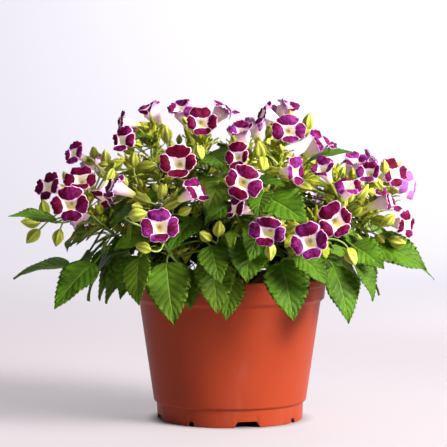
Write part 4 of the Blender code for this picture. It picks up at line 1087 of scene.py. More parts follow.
def drill(made, places, low, high):
    """Cuts round holes along Z through a piece, with a turned cutter at each place."""
    skin = Skin()
    for place in places:
        rim = polygon(DRILL_SIDES) * DRAIN_RADIUS
        rows = ((0.0, low), (1.0, low), (1.0, high), (0.0, high))
        rings = [np.column_stack((rim * share + place, np.full(len(rim), z))) for share, z in rows]
        skin.add(np.array(rings))
    cutter = placed("drill", skin.mesh("drill"))
    cut = made.modifiers.new("drill", "BOOLEAN")
    cut.solver = "MANIFOLD"
    cut.object = cutter
    bpy.context.view_layer.update()
    shape = bpy.data.meshes.new_from_object(made.evaluated_get(bpy.context.evaluated_depsgraph_get()))
    made.modifiers.remove(cut)
    made.data = shape
    bpy.data.objects.remove(cutter)
    shape.shade_smooth()
    shape.set_sharp_from_angle(angle=math.radians(SHARP_ANGLE))


def soil_level(x, y):
    """Height of the soil's top: a low dome with lumps, as a sum of waves."""
    dome = SOIL_DOME * (1 - (x * x + y * y) / RIM_RADIUS**2)
    return GROUND + dome + sum(high * np.sin(a * x + b * y + start) for high, a, b, start in SOIL_WAVES)


def crumbled(x, y, draw):
    """Fine lumps on the soil: a sum of waves of random heading and length, lower the shorter they are."""
    waves = draw.uniform(0, 1, (CRUMBLE_WAVES, 4))
    heading = waves[:, 0] * 2 * math.pi
    pitch = CRUMBLE_PITCH + waves[:, 1] * CRUMBLE_RANGE
    turn = x[..., None] * np.cos(heading) * pitch + y[..., None] * np.sin(heading) * pitch
    return (np.sin(turn + waves[:, 2] * 6.3) / pitch).sum(axis=-1) * CRUMBLE_HEIGHT


def soil_fill(draw):
    """The soil turned about Z: up the pot's inner wall to its shoulder and in over the crumbled top."""
    a = np.linspace(0, 2 * math.pi, SOIL_SIDES + 1)
    wall = np.array(pot_inside()) - (SOIL_GAP, 0)
    wall[0, 1] += CLEARANCE
    shoulder = wall[-1, 0], GROUND - SOIL_EDGE_DROP - SOIL_SHOULDER_DROP
    wall = np.vstack(((0.0, wall[0, 1]), wall, shoulder))
    top = (wall[-1, 0] - SOIL_SHOULDER_OUT) * np.linspace(1, 0, SOIL_TOP_ROWS) ** SOIL_ROW_SPACING
    radius = np.concatenate((wall[:, 0], top))
    height = np.concatenate((wall[:, 1], top * 0))
    x, y = radius[:, None] * np.sin(a), -radius[:, None] * np.cos(a)
    x[:, -1], y[:, -1] = x[:, 0], y[:, 0]
    upper = np.arange(len(radius))[:, None] >= len(wall)
    z = np.where(upper, soil_level(x, y) + crumbled(x, y, draw), height[:, None])
    z[-1] = z[-1].mean()
    return np.stack((x, y, z), axis=2)


def crumb(draw):
    """A loose bit of bark: a ball of few faces, drawn out and turned at random, on the soil."""
    down, a = np.linspace(0, math.pi, 4)[:, None], np.linspace(0, 2 * math.pi, 5)
    ball = np.stack((np.sin(down) * np.cos(a), np.sin(down) * np.sin(a), np.cos(down) * np.ones(5)), axis=2)
    ball[:, -1] = ball[:, 0]
    turn, reach = draw.uniform(0, 2 * math.pi), CRUMB_REACH * math.sqrt(draw.uniform(0, 1))
    x, y = reach * math.sin(turn), reach * math.cos(turn)
    axes, _ = np.linalg.qr(draw.normal(0, 1, (3, 3)))
    size = draw.uniform(*CRUMB_SIZE) * np.array(CRUMB_SHAPE)
    return (ball * size) @ axes + (x, y, soil_level(x, y) + CRUMB_LIFT)


def square_section(points=12, size=0.86):
    """A square with round corners: the radius is its size over the fourth root of cos to the 4th plus sin
    to the 4th."""
    ring = polygon(points)
    return ring * size / ((ring**4).sum(axis=1) ** 0.25)[:, None]


def tube(skin, line, radii, section, **how):
    """Adds a closed tube: the section carried along the line, and drawn in to a point at both ends."""
    grid = rings_along(line, radii, section)
    ends = [np.repeat(line[k][None, None], grid.shape[1], axis=1) for k in (0, -1)]
    skin.add(np.concatenate((ends[0], grid, ends[1])), **how)


# Columns of a leaf blade as places from edge to edge, over its upper face and back under it
UPPER = np.array((-1, -0.84, -0.56, -0.28, -0.08, 0, 0.08, 0.28, 0.56, 0.84, 1))
LOWER = np.array((1, 0.72, 0.34, 0.1, 0, -0.1, -0.34, -0.72, -1))

# Rows of each tooth: its place along the tooth, and how far the edge stands out there
TOOTH_ROWS = (0.0, 0.5, 0.85)
TOOTH_EDGE = (-1.0, 0.1, 1.0)
TOOTH_DEPTH, TOOTH_LEAN = 0.5, 0.4

# A blade's wave along the edge: its number and its range of height; the range of its tip's curl and where
# the curl starts; the height of its puckers, on a blade longer than this; and its thickness
EDGE_WAVES, EDGE_SWING = 1.7, (0.5, 1.3)
TIP_CURL, CURL_START, CURL_DEPTH = (-0.6, 1.4), 0.72, 2.0
PUCKER, PUCKERED_LENGTH = 0.26, 24
BLADE_THICKNESS, YOUNG_THICKNESS = 0.5, 0.4

# The rib: the depth of its groove above, its height below, and its width as a share of half the blade's
RIB_GROOVE, RIB_KEEL, RIB_WIDTH = -0.22, 0.42, 0.09


def half_width(u):
    """Half the blade's width along it, as a share of the widest: a power of the sine of a power of u, which
    is round at the base, drawn in from TIP_START to the tip."""
    u = np.clip(u, 0, 1)
    taper = 1 - TIP_TAPER * np.clip((u - TIP_START) / (1 - TIP_START), 0, 1) ** 2
    return np.sin(math.pi * u**BLADE_FULLNESS) ** BLADE_ROUNDNESS * taper


def blade(skin, leaf, draw, teeth, tone, thick=BLADE_THICKNESS, upper=UPPER, lower=LOWER):
    """Adds a leaf blade as a thin closed shell over the CAD blade's middle surface, and gives its heading.

    A point is base + length u along + width v half_width(u) across + rise along the normal. The edge swings
    out at the teeth. The rise is the arch, the fold at the rib, a wave along the edge, the tip's curl and
    puckers between the side veins. The two faces stand apart by a thickness that falls to nothing at the
    edge.
    """
    base, tip = np.array(leaf.base, float), np.array(leaf.tip, float)
    length = np.linalg.norm(tip - base)
    along = unit(tip - base)
    look = facing(leaf.azimuth, leaf.elevation)
    normal = unit(look - along * (look @ along))
    side = np.cross(along, normal)
    steps = np.arange(teeth)[:, None] + np.array(TOOTH_ROWS)
    u = np.append(steps.ravel(), teeth)[:, None] / teeth
    tooth = np.append(np.tile(TOOTH_EDGE, teeth), TOOTH_EDGE[0])[:, None]
    v = np.concatenate((upper, lower))[None]
    face = np.concatenate((np.ones(len(upper)), -np.ones(len(lower))))[None]
    swell = np.sin(math.pi * u)
    edge = np.abs(v) ** 6
    half = half_width(u) * leaf.width / 2
    wide = v * half * (1 + TOOTH_DEPTH / (teeth + 1) * tooth * edge)
    ahead = u + TOOTH_LEAN / teeth * tooth * edge * swell
    phase, swing, curl = draw.uniform(0, 2 * math.pi), draw.uniform(*EDGE_SWING), draw.uniform(*TIP_CURL)
    rise = BLADE_ARCH * length * 4 * ahead * (1 - ahead) + BLADE_FOLD * np.abs(wide)
    rise = rise + swing * v**2 * np.sin(2 * math.pi * EDGE_WAVES * u + phase + np.sign(v)) * swell
    curled = np.clip((u - CURL_START) / (1 - CURL_START), 0, 1) ** 2
    rise = rise - curl * curled * CURL_DEPTH * (1 - v**2)
    veins = np.cos(2 * math.pi * (SIDE_VEINS * u - VEIN_LEAN * np.abs(v)))
    rise = rise - PUCKER * veins * np.sin(math.pi * np.abs(v)) * (length > PUCKERED_LENGTH)
    shell = thick / 2 * (1 - v**4) * swell**0.3
    rib = np.where(face > 0, RIB_GROOVE, RIB_KEEL) * np.exp(-((v / RIB_WIDTH) ** 2)) * swell**0.5
    lift = rise + face * (shell + rib)
    grid = base + along * (length * ahead)[..., None] + side * wide[..., None] + normal * lift[..., None]
    grid[0], grid[-1] = base, tip
    across = 0.5 + v / 2
    skin.add(grid, across=across[0], down=u[:, 0], tone=tone)
    return along


# Rings of an open flower's calyx: distance behind the face, share of its radius, depth of the hollows
# between its wings, and length of its teeth
CALYX_ROWS = (
    (34.7, 0.0, 0.0, 0.0), (34.6, 0.19, 0.0, 0.0), (33.7, 0.40, 0.2, 0.0), (32.2, 0.70, 0.3, 0.0),
    (29.8, 0.96, 0.34, 0.0), (26.8, 1.08, 0.34, 0.0), (24.2, 1.0, 0.32, 0.0), (22.4, 0.86, 0.28, 0.6),
    (20.9, 0.78, 0.22, 2.6), (21.4, 0.66, 0.2, 2.2), (24.0, 0.45, 0.1, 0.0), (27.0, 0.0, 0.0, 0.0),
)

# Rings of a bud and of a small one: share of its length, share of its radius and depth of the hollows
BUD_ROWS = (
    (0.0, 0.0, 0.0), (0.01, 0.18, 0.0), (0.07, 0.44, 0.15), (0.2, 0.84, 0.28), (0.36, 1.06, 0.32),
    (0.52, 1.1, 0.34), (0.68, 0.9, 0.34), (0.82, 0.56, 0.3), (0.93, 0.24, 0.2), (1.0, 0.0, 0.0),
)
SMALL_BUD_ROWS = (
    (0.0, 0.0, 0.0), (0.06, 0.42, 0.1), (0.25, 0.95, 0.3), (0.5, 1.05, 0.34), (0.75, 0.7, 0.3),
    (0.92, 0.24, 0.2), (1.0, 0.0, 0.0),
)
RIBBED_COLUMNS, BUD_COLUMNS, SMALL_BUD_COLUMNS = 30, 25, 10

# Radii of stalks and petioles, from the stem to their end
FLOWER_STALK, BUD_STALK, PETIOLE = (0.85, 0.7), (0.85, 0.65), (0.95, 0.7)


def ribbed(centre, axes, backs, radii, wings, teeth, angle, columns):
    """Five-winged rings about a flower's axis: radius = r (1 - w (1 - |cos 2.5 a| cubed)), and each ring is
    pulled forward by its teeth on the wings."""
    a = np.linspace(0, 2 * math.pi, columns + 1) + angle
    wing = np.abs(np.cos(2.5 * (a - angle))) ** 3
    r = np.array(radii)[:, None] * (1 - np.array(wings)[:, None] * (1 - wing))
    forward = np.array(teeth)[:, None] * wing - np.array(backs)[:, None]
    local = np.stack((r * np.cos(a), r * np.sin(a), forward), axis=2)
    local[:, -1] = local[:, 0]
    return centre + local @ axes


def calyx(skin, bloom, start, rise, draw):
    """Adds the stalk and winged calyx of an open flower."""
    axes = bloom_axes(bloom.azimuth, bloom.elevation, bloom.roll)
    centre, s = centre_of(bloom), bloom.size
    line = stalk_line(start, centre - axes[2] * FACE_TO_STALK * s, axes[2], rise, FLOWER_STALK_POINTS)
    tube(skin, line, np.linspace(*FLOWER_STALK, FLOWER_STALK_POINTS), polygon(ROUND_STALK_SIDES))
    backs, shares, wings, teeth = np.array(CALYX_ROWS).T
    radii, angle = shares * CALYX_RADIUS * s, draw.uniform(0, 1.2)
    grid = ribbed(centre, axes, backs * s, radii, wings, teeth * s, angle, RIBBED_COLUMNS)
    skin.add(grid, tone=draw.uniform(0, 0.7), finish=1)


def bud(skin, place, axes, length, radius, draw, columns=BUD_COLUMNS, rows=BUD_ROWS):
    """Adds a closed bud: five wings over an egg shape that is drawn out to a point."""
    along, shares, wings = np.array(rows).T
    backs = length * (0.5 - along)
    grid = ribbed(place, axes, backs, shares * radius, wings, backs * 0, draw.uniform(0, 1.2), columns)
    skin.add(grid, tone=draw.uniform(0.1, 1.0), finish=1)


# Lobes of a flower's face: where each starts, in degrees, its reach, its forward reach, how far its edge
# curls back and the dip in its middle. The one at LOWER_LOBE can stand further forward than the rest
LOBES = (
    (40.0, 12.5, -1.6, 1.5, 0.7),
    (145.0, 11.9, -0.4, 1.6, 0.0),
    (229.0, 12.1, 0.6, 1.2, 0.3),
    (317.0, 11.9, -0.4, 1.6, 0.0),
)
LOWER_LOBE = 2
LOBE_COLUMNS = 22
WINDOW_CORNER = 6.3

# Rings of a flower of size 1 as distance behind its face and radius: the trumpet's outside. Those of the
# throat within have a share of the window's radius
TRUMPET = ((20.2, 2.5), (17.5, 2.95), (14.5, 3.5), (11.5, 4.2), (8.5, 4.95), (5.6, 5.7))
THROAT = ((1.6, 0.95), (3.2, 0.88), (5.2, 0.76), (7.2, 0.55))
THROAT_DEPTH = 7.6
FACE_SHARES = (0.975, 0.92, 0.82, 0.68, 0.5, 0.3, 0.12, 0.03)
BACK_SHARES = (0.22, 0.45, 0.7, 0.88, 0.96)
PETAL_THICKNESS = 0.4

# A flower that looks up by more than CUP_FROM degrees is cupped and ragged, and fully so CUP_RANGE further
CUP_FROM, CUP_RANGE = 28, 30

# What the full cup adds to the spread of lean and curl, cuts off the reach and adds to the lean
CUP_RAGGED, CUP_SHORTENS, CUP_LIFTS = 1.5, 0.16, 4

# Chances, each a mean and spread for every lobe: its reach as a factor, its lean, its curl as a factor, its
# fold and the window's shift to the side and up; and ranges of the lower lobe's lift, of what a side of the
# window bulges inwards, and of the window's size
REACH_CHANCE, LEAN_CHANCE, CURL_CHANCE, FOLD_CHANCE = (0, 0.05), (-0.3, 1.6), (0, 0.6), (0, 1.9)
CURL_MEAN = 1.2
STRETCH_CHANCE = (0, 0.05)
SHIFT_CHANCES = ((0, 0.5), (-0.6, 0.5))
LOWER_LIFT, LIFT_SHORTENS = (-1, 4), 0.03
WINDOW_BULGE, WINDOW_SIZE = (-0.04, 0.16), (0.8, 0.98)

# How far the notches stand in from the solids' and the upper ones out, and the half width of a lobe's dip
NOTCH_IN, UPPER_NOTCHES_OUT, DIP_WIDTH = 0.3, 1.8, 0.2

# Petals end softly over this depth, in millimetres, under the top of the CAD model's box
TOP_DEPTH = 6


def corolla(skin, bloom, draw, tone):
    """Adds a flower's petals as one closed shell.

    Columns go round the axis, closer together at the four notches. Rows go from the neck up the outside of
    the trumpet, over the rim and down the throat. The rim's radius is the notch's plus a rounded box
    (1 - s^6)^0.5 of the place s across each lobe, with frills. The throat's window has a side to each lobe:
    its radius is the side's distance over the cosine of the turn from the lobe's middle, so its corners
    point at the notches, and each side bulges or narrows by chance. Each lobe draws its own reach, lean,
    curl and fold, which vary more with the cup. A height h over the level TOP_DEPTH under the box's top
    becomes TOP_DEPTH (1 - e^(-h / TOP_DEPTH)).
    """
    step = np.sin(np.linspace(-0.5, 0.5, LOBE_COLUMNS + 1)[:-1] * math.pi)
    starts = np.array([lobe[0] for lobe in LOBES] + [LOBES[0][0] + 360])
    share = np.concatenate([step] * 4 + [[-1.0]])
    lobe = np.repeat(np.arange(5), LOBE_COLUMNS)[: 4 * LOBE_COLUMNS + 1] % 4
    half = np.radians(np.diff(starts)[lobe] / 2)
    angle = np.radians(starts[:4][lobe]) + half * (share + 1)
    reach, ahead, curl, dip = np.array(LOBES)[lobe, 1:].T
    reach = reach * (1 + draw.normal(*REACH_CHANCE, 4)[lobe])
    cup = np.clip((bloom.elevation - CUP_FROM) / CUP_RANGE, 0, 1)
    ragged = 1 + CUP_RAGGED * cup
    lifted = draw.uniform(*LOWER_LIFT) * (lobe == LOWER_LOBE)
    reach = reach * (1 - CUP_SHORTENS * cup - LIFT_SHORTENS * lifted)
    ahead = ahead + draw.normal(*LEAN_CHANCE, 4)[lobe] * ragged + lifted + CUP_LIFTS * cup
    curl = curl * (CURL_MEAN + draw.normal(*CURL_CHANCE, 4)[lobe] * ragged)
    fold = draw.normal(*FOLD_CHANCE, 4)[lobe] * (1 + cup)
    stretch = 1 + draw.normal(*STRETCH_CHANCE)
    shift = [draw.normal(*chance) for chance in SHIFT_CHANCES]
    ripple, frill = draw.uniform(0, 2 * math.pi, (2, 4))[:, lobe]
    box = (1 - share**6).clip(0) ** 0.5
    notch = NOTCH_REACH - NOTCH_IN + UPPER_NOTCHES_OUT * np.sin(angle).clip(0)
    rim = notch + (reach - notch) * box - dip * np.exp(-((share / DIP_WIDTH) ** 2))
    rim = rim + (0.4 * np.sin(7 * share + ripple) + 0.28 * np.sin(15 * share + frill)) * box
    bulge = 1 - draw.uniform(*WINDOW_BULGE, 4)[lobe] * (1 - share**2) - 0.1 * share**10
    window = WINDOW_CORNER * draw.uniform(*WINDOW_SIZE) * bulge * np.cos(half) / np.cos(half * share)
    rows, places = [], []

    def ring(radius, forward, place, aside=0.0):
        """Adds a row at a place along the flower, moved by a share of the window's shift."""
        x, y = radius * np.cos(angle) + aside * shift[0], radius * np.sin(angle) + aside * shift[1]
        rows.append(np.stack((x, y, forward + 0 * angle), axis=1))
        places.append(place)

    def face(w, lift, place):
        """Adds a row of the lobes at the share w of the way from the window to the rim."""
        wave = w**2 * box * (0.5 * np.sin(6 * share + ripple) + fold * share)
        wave = wave + w**4 * box * 0.6 * np.sin(15 * share + frill + 1.0)
        bend = curl * w**2 * share**2 + 0.6 * curl * w**4
        forward = -1.2 + (ahead + 0.9) * w + 1.2 * math.sin(math.pi * w * 0.8) * box - bend * box + wave
        forward = forward + (NOTCH_FORWARD - 0.1) * (1 - box) * w
        ring(window - 0.3 * lift + (rim - window) * w, forward + lift, place, 1 - w)

    ring(0.0, 0.3 - FACE_TO_CALYX, 2.0)
    for k, (back, radius) in enumerate(TRUMPET):
        flat = 0.94 + 0.06 * np.abs(np.sin(angle))
        ring(radius * (1 + 0.06 * k * cup) * flat, -back, 1.95 - 0.07 * k)
    ring(window + 0.55, -3.0, 1.48, 1)
    for w in BACK_SHARES:
        face(w, -PETAL_THICKNESS, 1.36 - 0.3 * w)
    face(1.0, -0.3 * PETAL_THICKNESS, 1.0)
    for w in FACE_SHARES:
        face(w, 0.0, w)
    for k, (back, part) in enumerate(THROAT):
        radius = window * part + (WINDOW_CORNER * 0.7 - window) * min(0.4 * k, 1) * part
        ring(radius, -back, -0.1 - 0.2 * k, 1 - 0.25 * k)
    ring(0.0, -THROAT_DEPTH, -1.0)
    local = np.array(rows) * bloom.size * (stretch, 1 / stretch, 1)
    local[:, -1] = local[:, 0]
    axes = bloom_axes(bloom.azimuth, bloom.elevation, bloom.roll)
    grid = centre_of(bloom) + local @ axes
    above = (grid[..., 2] - BOX_HIGH[2] / MM + TOP_DEPTH).clip(0)
    grid[..., 2] += TOP_DEPTH * (1 - np.exp(-above / TOP_DEPTH)) - above
    across = np.append((lobe[:-1] + (share[:-1] + 1) / 2) / 4, 1.0)
    skin.add(grid, across=across, down=np.array(places), tone=tone)


# How wide a flower of size 1 with a little room about it is, at distances before its face
FLOWER_DEPTHS = (-37, -35, -20, -8, -4, -2, 3, 16, 17)
FLOWER_RADII = (-1, 4.5, 5.0, 7.0, 10.0, 13.5, 13.5, 11.0, -1)

# Columns over and under a young leaf, its teeth, and the radii of a young leaf's and a small bud's stalk
YOUNG_UPPER = np.array((-1, -0.5, 0, 0.5, 1))
YOUNG_LOWER = np.array((1, 0, -1))
YOUNG_TEETH = 2
YOUNG_PETIOLE = (0.55, 0.5, 0.4)
SMALL_BUD_STALK = (0.6, 0.6, 0.55, 0.5, 0.45)
SMALL_BUD_WIDTH = 0.3

# Room to keep: to the box's sides, over the pot and further over what is past its rim, and round a bud
BOX_ROOM, POT_ROOM, RIM_ROOM, BUD_ROOM = 2, 5, 12, 5.0

# Young leaves in pairs up the stems, in tufts, by the flowers and within the dome: the room that they keep
# and the ranges of their length, of their width as a share of it and of their tone
PAIR_ROOM, PAIR_LENGTH, YOUNG_WIDTH = 4.5, (14, 25), (0.42, 0.6)
TUFT_ROOM, TUFT_LENGTH, TUFT_WIDTH, TUFT_TONE = 2.2, (12, 21), (0.26, 0.36), (0.65, 1)
BRACT_ROOM, BRACT_LENGTH, BRACT_TONE = 3.5, (8, 15), (0.6, 1)
INNER_ROOM, INNER_LENGTH, INNER_WIDTH = 4.2, (16, 26), (0.5, 0.66)
SMALL_BUD_LENGTH = (8, 13)

# The spread of a young leaf's look, in degrees, and the points that stand for a leaf or bud
YOUNG_TURN = 14
LEAF_PLACES = np.linspace(0, 1, 5)[:, None]

# Pairs of leaves up a stem: the share of the stem below the first, their spacing and the lowest height
PAIRS_START, PAIR_SPACING, LOWEST_PAIR = 0.35, 6.0, POT_HEIGHT + 8

# How many bracts a tuft has, growths a flower's foot, and tries the spiral within the dome
TUFT_BRACTS = 12
GROWTHS_BY_FLOWER = 6
INNER_LEAVES = 1500


def in_flowers(points):
    """Which points are in a flower or the room about it: the radius at each depth is read from a table."""
    centre = np.array([centre_of(b) for b in BLOOMS])
    out = np.array([facing(b.azimuth, b.elevation) for b in BLOOMS])
    size = np.array([b.size for b in BLOOMS])
    off = points[:, None] - centre[None]
    deep = (off * out).sum(axis=2)
    wide = np.linalg.norm(off - deep[..., None] * out, axis=2) / size
    limit = np.interp(deep / size, FLOWER_DEPTHS, FLOWER_RADII)
    return (wide < limit).any(axis=1)


def fan(way, turn):
    """The direction square to a way that stands at a turn about it, in radians."""
    level = unit(np.cross(way, ASKEW))
    return level * math.cos(turn) + np.cross(way, level) * math.sin(turn)


class Growth:
    """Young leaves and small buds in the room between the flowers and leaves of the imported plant."""

    def __init__(self):
        self.draw = np.random.default_rng(SEED + 40)
        shares = np.linspace(0.2, 0.9, 3)[:, None]
        spans = [(np.array(leaf.base), np.array(leaf.tip)) for leaf, _ in LAYOUT.leaves]
        self.taken = np.vstack([base + (tip - base) * shares for base, tip in spans])
        self.leaves = []
        self.buds = []
        for stem, lines in LAYOUT.lines.items():
            for line in lines:
                self.along(stem, line)
                self.tuft(stem, line[-1], unit(line[-1] - line[-9]))
        self.beside_flowers()
        self.within_dome()

    def has_room(self, points, room):
        """Whether the points are out of the flowers, in the box, over the pot and clear of other growth."""
        low, high = BOX_LOW / MM + BOX_ROOM, BOX_HIGH / MM - BOX_ROOM
        if in_flowers(points).any() or (points < low).any() or (points > high).any():
            return False
        past_rim = np.linalg.norm(points[:, :2], axis=1) > RIM_RADIUS
        near_pot = points[:, 2] < POT_HEIGHT + POT_ROOM + RIM_ROOM * past_rim
        gaps = np.linalg.norm(self.taken[:, None] - points[None, 1:], axis=2)
        return not near_pot.any() and gaps.min() > room

    def try_leaf(self, stem, start, base, heading, size, tone, room, width=None, look=None):
        """Takes a young leaf if there is room; it looks up unless an azimuth and elevation are given."""
        tip = base + heading * size
        points = base + (tip - base) * LEAF_PLACES
        if self.has_room(points, room):
            azimuth, elevation = look or seen_at(heading) + np.array((0, 90))
            turn = self.draw.normal(0, YOUNG_TURN, 2)
            width = size * (width or self.draw.uniform(*YOUNG_WIDTH))
            leaf = Leaf(stem, tuple(base), tuple(tip), width, azimuth + turn[0], elevation + turn[1])
            self.leaves.append((leaf, start, float(np.clip(tone, -1, 1))))
            self.taken = np.vstack((self.taken, points))

    def along(self, stem, line):
        """Pairs of leaves up a stem, each a right angle from the last, smaller and steeper upwards."""
        draw = self.draw
        length = np.concatenate(([0], np.cumsum(np.linalg.norm(np.diff(line, axis=0), axis=1))))
        whole = length[-1]
        for number, at in enumerate(np.arange(whole * PAIRS_START, whole + 1, PAIR_SPACING)):
            place, before = (
                np.array([np.interp(at + k, length, line[:, axis]) for axis in range(3)]) for k in (0, -3)
            )
            share = at / whole
            if place[2] < LOWEST_PAIR:
                continue
            way = unit(place - before)
            out = fan(way, math.radians(90 * number + draw.uniform(-20, 20)))
            for sign in (1, -1):
                steep = 0.1 + 1.1 * share**3 * draw.uniform(0.6, 1.2)
                heading = unit(out * sign + way * steep + (0, 0, 0.15))
                size = draw.uniform(*PAIR_LENGTH) * (1.25 - 0.6 * share)
                base = place + heading * draw.uniform(1.5, 5)
                tone = 0.2 + 0.75 * share + draw.uniform(-0.2, 0.1)
                self.try_leaf(stem, place, base, heading, size, tone, PAIR_ROOM)

    def tuft(self, stem, place, way):
        """Narrow bracts that fan out from a stem's tip or a flower's foot."""
        draw = self.draw
        for number in range(TUFT_BRACTS):
            out = fan(way, math.radians(GOLDEN_ANGLE * number))
            heading = unit(way + out * draw.uniform(0.35, 1.0) + (0, 0, 0.3))
            size = draw.uniform(*TUFT_LENGTH)
            base = place + heading * draw.uniform(1.0, 3.5)
            tone, width = draw.uniform(*TUFT_TONE), draw.uniform(*TUFT_WIDTH)
            self.try_leaf(stem, place, base, heading, size, tone, TUFT_ROOM, width)

    def beside_flowers(self):
        """Buds and bracts in turn about each flower's stalk, where its cluster's later flowers come."""
        draw = self.draw
        for bloom, (start, _) in zip(BLOOMS, LAYOUT.calyxes):
            axes = bloom_axes(bloom.azimuth, bloom.elevation)
            foot = centre_of(bloom) - axes[2] * FACE_TO_STALK * bloom.size
            self.tuft(bloom.stem, start + (foot - start) * 0.2, unit(axes[2] + (0, 0, 1.2)))
            for number in range(GROWTHS_BY_FLOWER):
                turn = draw.uniform(0, 2 * math.pi)
                out = axes[0] * math.cos(turn) + axes[1] * math.sin(turn)
                forward = axes[2] * draw.uniform(0.5, 1.2)
                heading = unit(forward + out * draw.uniform(0.3, 1.0) + (0, 0, 0.5))
                if number % 2:
                    base = foot + (start - foot) * draw.uniform(0.0, 0.4)
                    size, tone = draw.uniform(*BRACT_LENGTH), draw.uniform(*BRACT_TONE)
                    self.try_leaf(bloom.stem, base, base + heading * 2, heading, size, tone, BRACT_ROOM)
                    continue
                length = draw.uniform(*SMALL_BUD_LENGTH)
                low = foot + out * draw.uniform(5, 12) + axes[2] * draw.uniform(-6, 8)
                points = low + heading * length * LEAF_PLACES
                if self.has_room(points, BUD_ROOM):
                    self.buds.append((bloom.stem, start, low, heading, length))
                    self.taken = np.vstack((self.taken, points))

    def within_dome(self):
        """Leaves in the dome's depth on a spiral, which fill the dark room behind the flowers; the deepest
        get a low tone as painted shade.
        """
        draw = self.draw
        for number in range(INNER_LEAVES):
            height = ((number + 0.5) / INNER_LEAVES) ** 0.9
            azimuth = GOLDEN_ANGLE * number + draw.uniform(-10, 10)
            elevation = math.degrees(math.asin(height))
            out, down = facing(azimuth, elevation), facing(azimuth, elevation - 90)
            depth = draw.uniform(0.3, 1.0)
            place = out * (DOME_REACH, DOME_REACH, DOME_RISE) * depth + (0, 0, DOME_HEIGHT)
            turn = draw.uniform(-1.2, 1.2)
            side = np.cross(out, down) * math.sin(turn)
            heading = unit(down * math.cos(turn) + side + out * draw.uniform(0.0, 0.7))
            size = draw.uniform(*INNER_LENGTH) + 8 * (1 - depth)
            stem = LAYOUT.nearest_stem(place)
            start = LAYOUT.start_on(stem, place)
            if np.linalg.norm(start - place) < LONGEST_PETIOLE:
                tone = max(0, depth - 0.4) * (0.3 + 0.9 * height) + draw.uniform(-0.15, 0.25)
                # Painted shade: the deeper a leaf lies in the dome, the lower its tone and the darker its
                # green
                tone -= 4.5 * max(0, 0.95 - depth)
                look = azimuth + draw.normal(0, 22), elevation + draw.uniform(-5, 35)
                width = draw.uniform(*INNER_WIDTH)
                self.try_leaf(stem, start, place, heading, size, tone, INNER_ROOM, width, look)


# A leaf whose middle is nearer to the dome's centre than this share of its size darkens at this rate, if it
# is this far over the pot: painted shade in the plant's depth
DOME_SURFACE, PAINTED_SHADE_RATE, PAINTED_SHADE_FROM = 0.9, 2.1, POT_HEIGHT + 12
GROWN_TONES, PALEST_GROWN = (-0.12, 0.1), 0.06

# The mean and spread of the flowers' tones, and which flower fades
FLOWER_TONES = (0.4, 0.35)
FADED_FLOWER = 34

# The floor in metres: how far it runs before and beside the pot, where it bends up and by what radius, how
# high it rises, and how far it lies under the pot. It glows outside the ring under the pot's foot, and the
# ring is left dark as a painted contact shadow
FLOOR_NEAR, FLOOR_HALF_WIDTH, FLOOR_TOP = -9.0, 9, 5.0
FLOOR_BEND_START, FLOOR_BEND, FLOOR_BEND_ROWS = 1.6, 1.2, 17
FLOOR_DROP = 0.0002
POT_CONTACT_SHADOW = (0.052, 0.068)
FLOOR_GLOW = (1.0, 0.95, 1.0)
SKY_TINT = (1.0, 0.97, 0.98, 1)

# Each light's place, target and size in metres, its colour, and the spread of its rays in degrees
LIGHTS = {
    "key": ((1.19, -0.77, 0.88), (0, 0, 0.13), 0.9, (1.0, 0.97, 0.94), 60),
    "top": ((0.35, -0.5, 2.1), (0.1, -0.1, 0), 2.0, (1.0, 0.97, 0.99), 90),
    "backdrop": ((0.9, 1.0, 2.2), (0.55, 2.8, 0.9), 1.5, (0.85, 0.94, 1.0), 120),
    "wash": ((0.8, 0.78, 0.5), (0.2, 0.72, 0), 0.3, (1.0, 1.0, 1.0), 100),
}
CAMERA_TARGET = (-0.0050, 0, 0.1507)


def colour(name, description, default):
    """A colour that a user can change."""
    return bpy.props.FloatVectorProperty(
        name=name, description=description, subtype="COLOR", size=3, default=default, min=0, max=1
    )


def power(name, description, default):
    """A light's power that a user can change."""
    return bpy.props.FloatProperty(name=name, description=description, default=default, min=0, unit="POWER")


class PotSettings(bpy.types.PropertyGroup):
    """Fineness and colour of the pot."""

    sides: bpy.props.IntProperty(
        name="Sides", description="Steps round the pot's wall", default=180, min=36, max=720
    )
    plastic: colour("Plastic", "Colour of the moulded plastic", (0.325, 0.042, 0.0135))


class SoilSettings(bpy.types.PropertyGroup):
    """Colours of the soil and the number of loose crumbs on it."""

    crumbs: bpy.props.IntProperty(
        name="Crumbs", description="Loose bits of bark on the soil", default=220, min=0
    )
    dark: colour("Peat", "Colour of the soil", linear(58, 42, 32))
    fibre: colour("Bark", "Colour of the bark fibres", linear(122, 92, 64))


class PlantSettings(bpy.types.PropertyGroup):
    """The leaves' teeth and the colours of the leaves and flowers."""

    teeth: bpy.props.IntProperty(
        name="Teeth", description="Teeth on each side of a leaf", default=13, min=3, max=20
    )
    mature: colour("Grown leaf", "Colour of a grown leaf", linear(72, 112, 8))
    young: colour("Young leaf", "Colour of a young leaf", linear(192, 192, 56))
    vein: colour("Vein", "Colour of a leaf's veins", linear(122, 152, 50))
    under: colour("Underside", "Colour of a leaf's underside", linear(112, 138, 48))
    calyx: colour("Calyx", "Colour of the calyxes and buds", linear(168, 178, 48))
    burgundy: colour("Burgundy", "Darker colour of the petals' patches", (0.12, 0.0006, 0.019))
    magenta: colour("Magenta", "Lighter colour of the petals' patches", (0.18, 0.007, 0.115))
    white: colour("Petal white", "Colour of the petals' edges and tube", linear(242, 216, 230))


